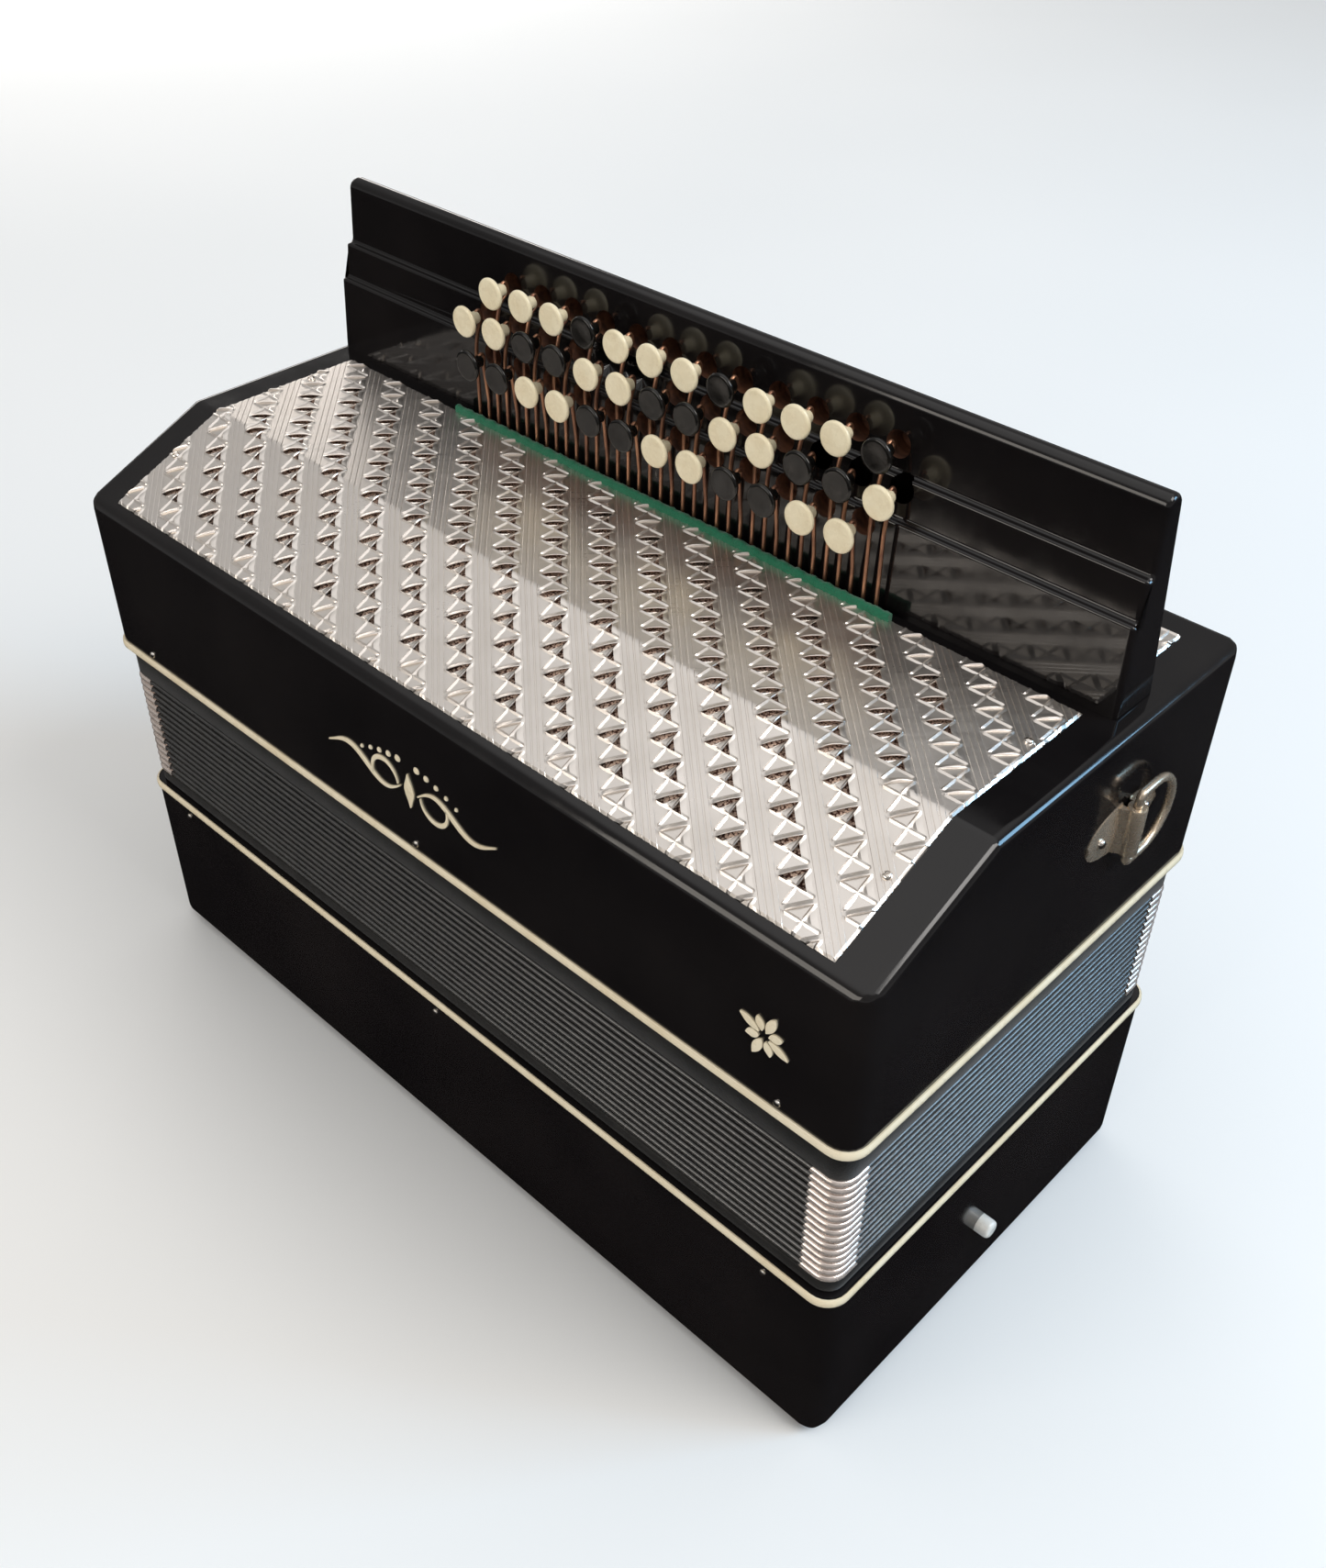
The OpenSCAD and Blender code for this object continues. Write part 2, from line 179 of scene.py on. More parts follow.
def black_lacquer():
    look = Look("black_lacquer", Roughness=0.1)
    look.color(look.noise(60), (0.0045, 0.0038, 0.0042), (0.010, 0.0085, 0.0085))
    look.rough(look.noise(26, detail=5, rough=0.65), 0.07, 0.2, 0.4, 0.75)
    look.bump(look.noise(40, detail=1), 0.03)
    return look.mat


def raw_wood(name="raw_wood", light=(0.52, 0.33, 0.18), dark=(0.32, 0.18, 0.085)):
    look = Look(name, Roughness=0.6)
    grain = look.noise(3.2, detail=6, scale=(0.05, 1, 1))
    look.color(grain, light, dark, 0.35, 0.65)
    look.rough(grain, 0.5, 0.75)
    look.bump(grain, 0.08)
    return look.mat


def cream_strip():
    look = Look("cream_strip", Roughness=0.3, Coat_Weight=0.4, Coat_Roughness=0.1)
    look.color(look.noise(14, detail=4), (0.90, 0.80, 0.60), (0.80, 0.68, 0.47))
    look.rough(look.noise(3), 0.22, 0.42)
    look.bump(look.noise(2.2, detail=3), 0.03)
    return look.mat


def leathercloth(name, low, high, grain=0.55, roughness=(0.42, 0.62), gloss=0.5, wax=0.0):
    """Black leathercloth: a pebbled film, with a faint thread pattern under it."""
    look = Look(name, Roughness=0.5, Sheen_Weight=0.15, Sheen_Roughness=0.45)
    look.bsdf.inputs["Specular IOR Level"].default_value = gloss
    look.bsdf.inputs["Coat Weight"].default_value = wax
    look.bsdf.inputs["Coat Roughness"].default_value = 0.28
    look.color(look.noise(9, detail=5), low, high, 0.35, 0.65)
    pebbles = look.cells(grain)
    look.rough(pebbles, *roughness, 0.0, 0.6)
    look.bump(pebbles, 0.07)
    look.bump(look.noise(0.35, detail=2, scale=(1, 1, 0.4)), 0.04)
    return look.mat


def polished(name, color, dull=(0.08, 0.24), metallic=1.0, dents=0.012, stained=0.72):
    look = Look(name, Metallic=metallic, Roughness=0.15)
    look.color(look.noise(5, detail=5, rough=0.6), color, tuple(stained * c for c in color), 0.4, 0.7)
    look.rough(look.noise(2.2, detail=4), *dull)
    look.bump(look.noise(1.6, detail=3), dents)
    return look.mat


def grille_aluminium():
    """Satin sheet with fine drawing lines along the bands, and duller patches."""
    look = Look("grille_aluminium", Metallic=1.0, Roughness=0.3)
    lines = look.noise(0.34, detail=2, scale=(1, 0.02, 1), turn=(0, 0, 44))
    patches = look.noise(30, detail=4)
    look.color(patches, (0.90, 0.845, 0.795), (0.81, 0.755, 0.70), 0.35, 0.7)
    dulled = {0: look.spread(lines, 0.26, 0.40), 1: look.spread(patches, 0.0, 0.08, 0.35, 0.7)}
    total = look.node("ShaderNodeMath", dulled, operation="ADD").outputs["Value"]
    look.feed(look.bsdf.inputs["Roughness"], total)
    look.bump(lines, 0.006)
    look.bump(look.noise(7, detail=3), 0.05)
    return look.mat


def grille_cloth():
    """Speckled brown and pink weave behind the grille's holes."""
    look = Look("grille_cloth", Roughness=0.85, Sheen_Weight=0.2)
    spots = look.cells(0.85)
    pale = look.mix(look.spread(look.noise(0.6), 0, 1), (0.95, 0.76, 0.63), (0.80, 0.55, 0.43))
    look.color(spots, pale, (0.09, 0.03, 0.018), 0.5, 0.62)
    look.bump(spots, 0.18)
    return look.mat


def button_plastic(name, face, worn, roughness=(0.2, 0.36), coat=0.25):
    look = Look(name, Roughness=0.25, Coat_Weight=coat, Coat_Roughness=0.12)
    look.color(look.noise(6, detail=5), face, worn, 0.35, 0.72)
    look.rough(look.noise(2.5, detail=4), *roughness)
    look.bump(look.noise(1.8, detail=2), 0.015)
    look.bump(look.noise(0.25, detail=2), 0.003)
    return look.mat


def copper_wire():
    look = Look("copper_wire", Metallic=0.85, Roughness=0.4)
    tarnish = look.noise(4, detail=5, scale=(1, 1, 0.3))
    look.color(tarnish, (0.48, 0.25, 0.15), (0.22, 0.11, 0.075), 0.35, 0.65)
    look.rough(tarnish, 0.28, 0.5)
    look.bump(look.noise(0.5), 0.01)
    return look.mat


def green_felt():
    look = Look("green_felt", Roughness=0.95, Sheen_Weight=0.35, Sheen_Roughness=0.5)
    tufts = look.noise(0.7, detail=5, rough=0.7)
    look.color(tufts, (0.003, 0.115, 0.052), (0.006, 0.21, 0.105))
    look.bump(tufts, 0.35)
    return look.mat


def rubber():
    look = Look("foot_rubber", Roughness=0.75)
    dust = look.noise(5, detail=5)
    look.color(dust, (0.018, 0.018, 0.019), (0.05, 0.048, 0.045))
    look.rough(dust, 0.65, 0.85)
    look.bump(look.noise(0.4, detail=3), 0.03)
    return look.mat


def strap_leather():
    look = Look("strap_leather", Roughness=0.55)
    folds = look.noise(4, detail=6, rough=0.6, scale=(1, 0.4, 1))
    look.color(folds, (0.045, 0.022, 0.013), (0.13, 0.065, 0.034), 0.35, 0.7)
    pores = look.cells(0.9)
    look.rough(pores, 0.42, 0.7, 0, 0.5)
    look.bump(folds, 0.12)
    look.bump(pores, 0.06)
    return look.mat


def thread():
    look = Look("strap_thread", Roughness=0.8)
    ply = look.wave(0.7, (0, 0, 35))
    look.color(ply, (0.55, 0.45, 0.30), (0.70, 0.60, 0.43), 0, 1)
    look.bump(ply, 0.12)
    return look.mat


def drawn_steel():
    look = Look("axle_steel", Metallic=1.0, Roughness=0.35)
    lines = look.noise(0.4, detail=3, scale=(0.05, 1, 1))
    look.color(lines, (0.5, 0.5, 0.5), (0.62, 0.61, 0.6))
    look.rough(lines, 0.25, 0.45)
    look.bump(lines, 0.01)
    return look.mat


LACQUER = black_lacquer()
WOOD = raw_wood()
# a darker copy of the raw wood: painted shade on the walls of the key holes
SHADED_HOLE_WOOD = raw_wood("shaded_hole_wood", (0.20, 0.085, 0.045), (0.07, 0.03, 0.018))
CREAM = cream_strip()
FRAME_CLOTH = leathercloth("frame_cloth", (0.006, 0.0055, 0.005), (0.013, 0.012, 0.011), gloss=0.3)
CREST_CLOTH = leathercloth(
    "crest_cloth", (0.007, 0.0068, 0.006), (0.018, 0.017, 0.015), 0.5, (0.22, 0.4), 1.0, wax=1.0
)
# the pleats' matte black card, darker than the crest cloth: partly its own colour, partly painted shade in
# the gaps between the folds
SHADED_PLEAT_CARD = leathercloth("shaded_pleat_card", (0.003, 0.003, 0.003), (0.006, 0.006, 0.006), 0.7, (0.7, 0.85), 0.2)
CHROME = polished("corner_chrome", (0.98, 0.86, 0.79), (0.16, 0.3), 0.72, 0.006)
NICKEL = polished("bracket_nickel", (0.70, 0.58, 0.45), (0.24, 0.3), 0.8, 0.001, 0.92)
PIN_STEEL = polished("pin_nickel", (0.86, 0.80, 0.74), (0.1, 0.25))
GRILLE = grille_aluminium()
CLOTH = grille_cloth()
BUTTON_CREAM = button_plastic("button_cream", (0.92, 0.83, 0.60), (0.84, 0.73, 0.50))
BUTTON_BLACK = button_plastic(
    "button_black", (0.004, 0.0038, 0.0034), (0.010, 0.009, 0.008), (0.1, 0.2), coat=0.0
)
WHITE = button_plastic("white_button", (0.80, 0.79, 0.75), (0.66, 0.64, 0.58))
BASS_IVORY = button_plastic("bass_ivory", (0.78, 0.71, 0.54), (0.66, 0.58, 0.42))
COPPER = copper_wire()
FELT = green_felt()
RUBBER = rubber()
LEATHER = strap_leather()
THREAD = thread()
STEEL = drawn_steel()


# ---- mesh helpers ----

def in_scene(name, data):
    obj = bpy.data.objects.new(name, data)
    bpy.context.scene.collection.objects.link(obj)
    return obj


def to_piece(name, bm, materials, node=None, body=None, slot=None, smooth=30, rides=True):
    """A new object from a bmesh in millimetres. Edges sharper than smooth degrees stay crisp.

    It replaces a CAD node, whose body it takes over, or it rides on a body of its own.
    """
    for v in bm.verts:
        v.co *= MM
    bmesh.ops.recalc_face_normals(bm, faces=bm.faces)
    mesh = bpy.data.meshes.new(name)
    bm.to_mesh(mesh)
    bm.free()
    for mat in materials if isinstance(materials, list) else [materials]:
        mesh.materials.append(mat)
    mesh.polygons.foreach_set("use_smooth", [True] * len(mesh.polygons))
    mesh.set_sharp_from_angle(angle=math.radians(smooth))
    obj = in_scene(name, mesh)
    if node:
        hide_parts(node)
        body, slot = BODY_OF[node], slot or SLOT_OF[node]
    if body and rides:
        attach(obj, body)
    return obj


def add_loft(bm, rings, closed=True, caps=False, loop=False, material=0):
    """Quads between rings of points that have the same count. loop joins the last ring to the first."""
    made = [[bm.verts.new(p) for p in ring] for ring in rings]
    n = len(rings[0])
    pairs = list(zip(made, made[1:]))
    if loop:
        pairs.append((made[-1], made[0]))
    for a, b in pairs:
        for i in range(n if closed else n - 1):
            j = (i + 1) % n
            bm.faces.new((a[i], a[j], b[j], b[i])).material_index = material
    if caps:
        bm.faces.new(list(reversed(made[0]))).material_index = material
        bm.faces.new(made[-1]).material_index = material
    return made


def round_rect(length, depth, radius, z, seg=8):
    """Points round a rectangle with rounded corners, at height z."""
    radius = max(radius, 0.4)
    ring = []
    for sx, sy, start in ((1, -1, -90), (1, 1, 0), (-1, 1, 90), (-1, -1, 180)):
        for i in range(seg + 1):
            a = math.radians(start + 90 * i / seg)
            x = sx * (length / 2 - radius) + radius * math.cos(a)
            y = sy * (depth / 2 - radius) + radius * math.sin(a)
            ring.append(Vector((x, y, z)))
    return ring


def mirrored(half):
    """A profile of (out, height) points, ending at height 0, with its mirror image above it."""
    return half + [(out, -z) for out, z in reversed(half[:-1])]


def add_band(bm, profile, length, depth, radius):
    """A closed profile of (out, z) points carried round a rounded rectangle."""
    rings = [round_rect(length + 2 * out, depth + 2 * out, radius + out, z) for out, z in profile]
    add_loft(bm, rings, loop=True)


def add_lathe(bm, profile, centre, axis, seg=32, material=0):
    """Turns a profile of (radius, along) about an axis through centre. Radius 0 closes an end."""
    turn = Vector((0, 0, 1)).rotation_difference(Vector(axis)).to_matrix()
    rings = []
    for r, h in profile:
        if r == 0:
            rings.append([bm.verts.new(Vector(centre) + turn @ Vector((0, 0, h)))])
            continue
        ring = []
        for i in range(seg):
            a = 2 * math.pi * i / seg
            point = Vector((r * math.cos(a), r * math.sin(a), h))
            ring.append(bm.verts.new(Vector(centre) + turn @ point))
        rings.append(ring)
    for a, b in zip(rings, rings[1:]):
        for i in range(seg):
            j = (i + 1) % seg
            corners = [a[i % len(a)], a[j % len(a)], b[j % len(b)], b[i % len(b)]]
            face = bm.faces.new(list(dict.fromkeys(corners)))
            face.material_index = material


def smooth_path(points, steps=6):
    """A Catmull-Rom curve through the points."""
    points = [Vector(p) for p in points]
    ends = [2 * points[0] - points[1]] + points + [2 * points[-1] - points[-2]]
    path = []
    for a, b, c, d in zip(ends, ends[1:], ends[2:], ends[3:]):
        for i in range(steps):
            t = i / steps
            square = (2 * a - 5 * b + 4 * c - d) * t**2
            cube = (3 * b - a - 3 * c + d) * t**3
            path.append(0.5 * (2 * b + (c - a) * t + square + cube))
    return path + [points[-1]]


def add_tube(bm, path, radius, seg=10, loop=False):
    """A round tube along a path, with closed ends unless it loops."""
    n = len(path)
    normal = None
    rings = []
    for i, p in enumerate(path):
        ahead = path[(i + 1) % n] if loop or i < n - 1 else p
        behind = path[i - 1] if loop or i > 0 else p
        along = (ahead - behind).normalized()
        if normal is None:
            normal = along.orthogonal().normalized()
        normal = (normal - along * normal.dot(along)).normalized()
        side = along.cross(normal)
        ring = []
        for k in range(seg):
            a = 2 * math.pi * k / seg
            ring.append(p + (normal * math.cos(a) + side * math.sin(a)) * radius)
        rings.append(ring)
    add_loft(bm, rings, caps=not loop, loop=loop)


def add_block(bm, low, high, material=0):
    """A box from its lowest to its highest corner."""
    outline = [(low[1], low[2]), (low[1], high[2]), (high[1], high[2]), (high[1], low[2])]
    add_prism(bm, outline, low[0], high[0], material)


def add_prism(bm, outline, x0, x1, material=0):
    """A closed (y, z) outline carried along X."""
    add_loft(bm, [[Vector((x, y, z)) for y, z in outline] for x in (x0, x1)], caps=True, material=material)


def finished(obj):
    """Applies an object's modifiers."""
    depsgraph = bpy.context.evaluated_depsgraph_get()
    mesh = bpy.data.meshes.new_from_object(obj.evaluated_get(depsgraph))
    obj.modifiers.clear()
    obj.data = mesh
    return obj


def cut(obj, cutter_bm, materials):
    """Takes a bmesh in millimetres out of a piece. The cut faces keep the cutter's material."""
    cutter = to_piece("cutter", cutter_bm, materials)
    boolean = obj.modifiers.new("cut", "BOOLEAN")
    boolean.operation = "DIFFERENCE"
    boolean.solver = "EXACT"
    boolean.material_mode = "TRANSFER"
    boolean.use_self = True
    boolean.object = cutter
    bpy.context.view_layer.update()
    finished(obj)
    bpy.data.objects.remove(cutter)
    return obj


def cut_block(obj, low, high, material=0):
    block = bmesh.new()
    add_block(block, low, high, material)
    return cut(obj, block, [LACQUER, WOOD])


def crisp(obj, degrees=30):
    """Smooth shading with crisp edges, weighted so that large faces stay flat."""
    mesh = obj.data
    mesh.polygons.foreach_set("use_smooth", [True] * len(mesh.polygons))
    mesh.set_sharp_from_angle(angle=math.radians(degrees))
    weighted = obj.modifiers.new("weighted", "WEIGHTED_NORMAL")
    weighted.keep_sharp = True
    return obj


# ---- casings ----

def rounded_solid(name, outline, radius_of, node):
    """A lacquered solid from a (y, z) outline, as long as the casings. radius_of rounds each edge."""
    bm = bmesh.new()
    add_prism(bm, outline, -END_X, END_X)
    weight = bm.edges.layers.float.new("bevel_weight_edge")
    for e in bm.edges:
        e[weight] = radius_of(e.verts[0].co, e.verts[1].co) / CORNER_R
    obj = to_piece(name, bm, [LACQUER, WOOD], node)
    bevel = obj.modifiers.new("round", "BEVEL")
    bevel.width = CORNER_R * MM
    bevel.segments = 6
    bevel.limit_method = "WEIGHT"
    return finished(obj)


def upright(a, b):
    return abs(a.x - b.x) < 1 and abs(a.y - b.y) < 1


def treble_casing():
    z0 = TREBLE_LOW.z
    front_z = TOP - FRONT_DROP
    back_y = -FRONT_Y

    def radius_of(a, b):
        if upright(a, b):
            return CORNER_R
        if min(a.z, b.z) < z0 + 1:
            return 0
        if abs(a.y - BEND_Y) < 1 and abs(b.y - BEND_Y) < 1:
            return 1.4
        return EDGE_R

    outline = [(FRONT_Y, z0), (FRONT_Y, front_z), (BEND_Y, TOP), (back_y, TOP), (back_y, z0)]
    obj = rounded_solid("treble_casing_shell", outline, radius_of, "treble_casing")
    inner_x = END_X - WALL
    sink = WALL / math.cos(TILT)
    inner_y = FRONT_Y + WALL
    inner_front_z = front_z + (inner_y - FRONT_Y) * math.tan(TILT) - sink
    hollow = bmesh.new()
    outline = [(inner_y, z0 - 1), (inner_y, inner_front_z), (BEND_Y, TOP - sink)]
    outline += [(-inner_y, TOP - sink), (-inner_y, z0 - 1)]
    add_prism(hollow, outline, -inner_x, inner_x, material=1)
    cut(obj, hollow, [LACQUER, WOOD])
    rim = 9
    window = bmesh.new()
    x0, x1 = GRILLE_LOW.x + rim, GRILLE_HIGH.x - rim
    add_block(window, (x0, GRILLE_LOW.y + rim, z0 + 20), (x1, 17.5, TOP + 2))
    add_block(window, (-112, 16.5, TOP - 12), (112, 30.6, TOP + 2.5))
    add_block(window, (x0, 65, TOP - 12), (x1, 85, TOP + 2))
    cut(obj, window, [LACQUER, WOOD])
    return crisp(obj)


def bass_casing():
    z0, z1 = BASS_LOW.z, BASS_HIGH.z

    def radius_of(a, b):
        if upright(a, b):
            return CORNER_R
        return EDGE_R if max(a.z, b.z) < z0 + 1 else 0

    outline = [(FRONT_Y, z0), (FRONT_Y, z1), (-FRONT_Y, z1), (-FRONT_Y, z0)]
    obj = rounded_solid("bass_casing_shell", outline, radius_of, "bass_casing")
    inner_x, inner_y = END_X - WALL, -FRONT_Y - WALL
    cut_block(obj, (-inner_x, -inner_y, z0 - 1), (inner_x, inner_y, z1 + 1), material=1)
    hand_gap_x = 150
    cut_block(obj, (-hand_gap_x, 0, z0 - 2), (hand_gap_x, -FRONT_Y + 15, PANEL_LOW.z))
    bore = bmesh.new()
    air_low, air_high = box_mm("air_button")
    air = (air_low + air_high) / 2
    add_lathe(bore, [(0, -20), (4.6, -20), (4.6, 20), (0, 20)], (END_X, air.y, air.z), (1, 0, 0))
    cut(obj, bore, [LACQUER, WOOD])
    return crisp(obj)


def trim(name, node):
    """Half-round celluloid strip round a casing's open edge."""
    low, high = box_mm(node)
    half = (high.z - low.z) / 2
    profile = mirrored([(-0.4, -half), (0.55, -half), (1.05, -0.64 * half), (1.2, 0)])
    bm = bmesh.new()
    add_band(bm, [(out, low.z + half + dz) for out, dz in profile], CASING_L, CASING_D, CORNER_R)
    return to_piece(name, bm, CREAM, node, smooth=50)


# ---- bellows ----


def bend_with_bellows(obj):
    """Bakes the piece's placement into its mesh."""
    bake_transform(obj)
    return obj


CREST_H = 2.0
PLEAT_DEPTH = 22


def crest(k):
    """Cloth-bound outer edge of one fold."""
    z = FOLDS_LOW.z + (k + 0.5) * FOLD_H
    half = CREST_H / 2
    profile = [(-1.8, -half), (-1.2, -half), (-0.6, -0.87 * half), (-0.16, -0.5 * half), (0, 0)]
    bm = bmesh.new()
    add_band(bm, [(out, z + dz) for out, dz in mirrored(profile)], BELLOWS_L, BELLOWS_D, BELLOWS_R)
    obj = to_piece(f"bellows_fold_{k + 1:02d}", bm, CREST_CLOTH, "bellows", smooth=60, rides=False)
    return bend_with_bellows(obj)


def pleat(k):
    """The valley below fold k. The first one meets the lower frame, and the last one the upper frame."""
    half = CREST_H / 2
    z_low = FOLDS_LOW.z if k == 0 else FOLDS_LOW.z + (k - 0.5) * FOLD_H + half
    z_high = FOLDS_HIGH.z if k == FOLDS else FOLDS_LOW.z + (k + 0.5) * FOLD_H - half
    middle = (z_low + z_high) / 2
    valley = -PLEAT_DEPTH if 0 < k < FOLDS else -PLEAT_DEPTH / 2
    skin = 1.4
    rim = -1.5
    profile = [(rim, z_low), (valley, middle), (rim, z_high), (rim - skin, z_high)]
    profile += [(valley - skin, middle), (rim - skin, z_low)]
    bm = bmesh.new()
    add_band(bm, profile, BELLOWS_L, BELLOWS_D, BELLOWS_R)
    # the pleat's darker card is partly painted shade in the fold gap
    obj = to_piece(f"bellows_pleat_{k + 1:02d}", bm, SHADED_PLEAT_CARD, "bellows", smooth=60, rides=False)
    return bend_with_bellows(obj)


def corner_path(out, sx, sy, reach):
    """(x, y) points round one bellows corner, with reach millimetres of straight run on both sides of it."""
    r = BELLOWS_R + out
    cx, cy = sx * (BELLOWS_L / 2 - BELLOWS_R), sy * (BELLOWS_D / 2 - BELLOWS_R)
    points = [(cx - sx * reach, cy + sy * r)]
    seg = 8
    for i in range(seg + 1):
        a = math.radians(90 - 90 * i / seg)
        points.append((cx + sx * r * math.cos(a), cy + sy * r * math.sin(a)))
    points.append((cx + sx * r, cy - sy * reach))
    return points


def corner_guards(k):
    """Four plated caps, pressed over the corners of one fold."""
    z = FOLDS_LOW.z + (k + 0.5) * FOLD_H
    half = CREST_H / 2 + 0.48
    profile = mirrored([(-1.9, -half), (-0.6, -half), (0.0, -0.8 * half), (0.42, -0.4 * half), (0.55, 0)])
    reach = 6.5
    bm = bmesh.new()
    for sx in (-1, 1):
        for sy in (-1, 1):
            lines = [corner_path(out, sx, sy, reach - 0.8 * abs(dz) / half) for out, dz in profile]
            heights = [z + dz for out, dz in profile]
            rings = [[Vector((*p, h)) for p, h in zip(points, heights)] for points in zip(*lines)]
            add_loft(bm, rings, caps=True)
    obj = to_piece(f"corner_guards_{k + 1:02d}", bm, CHROME, "bellows_corners", smooth=50, rides=False)
    return bend_with_bellows(obj)


def bellows_frame(name, node, show_low, show_high, nest_z):
    """Cloth-covered ring between a casing and the folds, with a lip inside the casing as far as nest_z."""
    soft = 0.7
    shows = [(-soft, show_low), (0, show_low + soft), (0, show_high - soft), (-soft, show_high)]
    if nest_z < show_low:
        profile = [(-3.6, nest_z), (-3.6, show_low)] + shows + [(-14, show_high), (-14, nest_z)]
    else:
        profile = [(-14, show_low)] + shows + [(-3.6, show_high), (-3.6, nest_z), (-14, nest_z)]
    bm = bmesh.new()
    add_band(bm, profile, BELLOWS_L, BELLOWS_D, BELLOWS_R)
    return to_piece(name, bm, FRAME_CLOTH, node, smooth=50)


def pins(name, body, z):
    """Domed pins that hold the bellows frame, three along the front and three along the back."""
    bm = bmesh.new()
    dome = [(0, 1.15), (0.7, 1.05), (1.25, 0.7), (1.5, 0.2), (1.5, -0.6), (0, -0.6)]
    for x in (-180, 0, 180):
        for s in (-1, 1):
            add_lathe(bm, dome, (x, s * CASING_D / 2, z), (0, s, 0), seg=20)
    return to_piece(name, bm, PIN_STEEL, body=body, slot="bracket_nickel")


# ---- grille ----

UNIT = 12.3
COLUMN_STEP = 25.8
BAND_TURN = math.radians(46)
CELL = 10.35
HALF = CELL / 2
BAND_PITCH = COLUMN_STEP * math.cos(BAND_TURN)
BAND_SHIFT = COLUMN_STEP * math.sin(BAND_TURN) - UNIT
PATTERN_X, PATTERN_S = 125.1, -36.6
MOUTH = 2.3
DOWN = Vector((math.sin(BAND_TURN), -math.cos(BAND_TURN)))
ACROSS = Vector((math.cos(BAND_TURN), math.sin(BAND_TURN)))
BEND_R = 5.0
SHEET_T = 0.45
SHEET_UP = 0.62
GLUED = 9.2


def side_steps(r):
    """Places along one side of a square ring, close together beside the diagonal ridges at its corners."""
    a = min(0.55, r * 0.4)
    b = min(1.05, r * 0.75)
    return [-r, -r + a, -r + b, -(r - b) / 2, 0, (r - b) / 2, r - b, r - a, r]


def ridge_height(u, v):
    """Height of the raised cross, from the distance to the nearer diagonal of the cell."""
    off = abs(abs(u) - abs(v)) / math.sqrt(2)
    return 0.48 * max(0.0, 1 - off / 0.7)


def open_until(r):
    """Where, along the side of ring r under a hood, the open triangle ends and the sheet starts."""
    return max(-r, HALF - (HALF - r) * (2 * HALF - MOUTH) / MOUTH)


def hood_height(v):
    """Envelope of the raised hood along the cell's upper side."""
    return max(0.0, 1 - abs((v - 0.6) / (HALF + 0.6 * (v < 0.6) - 0.6 * (v > 0.6))) ** 2.6)


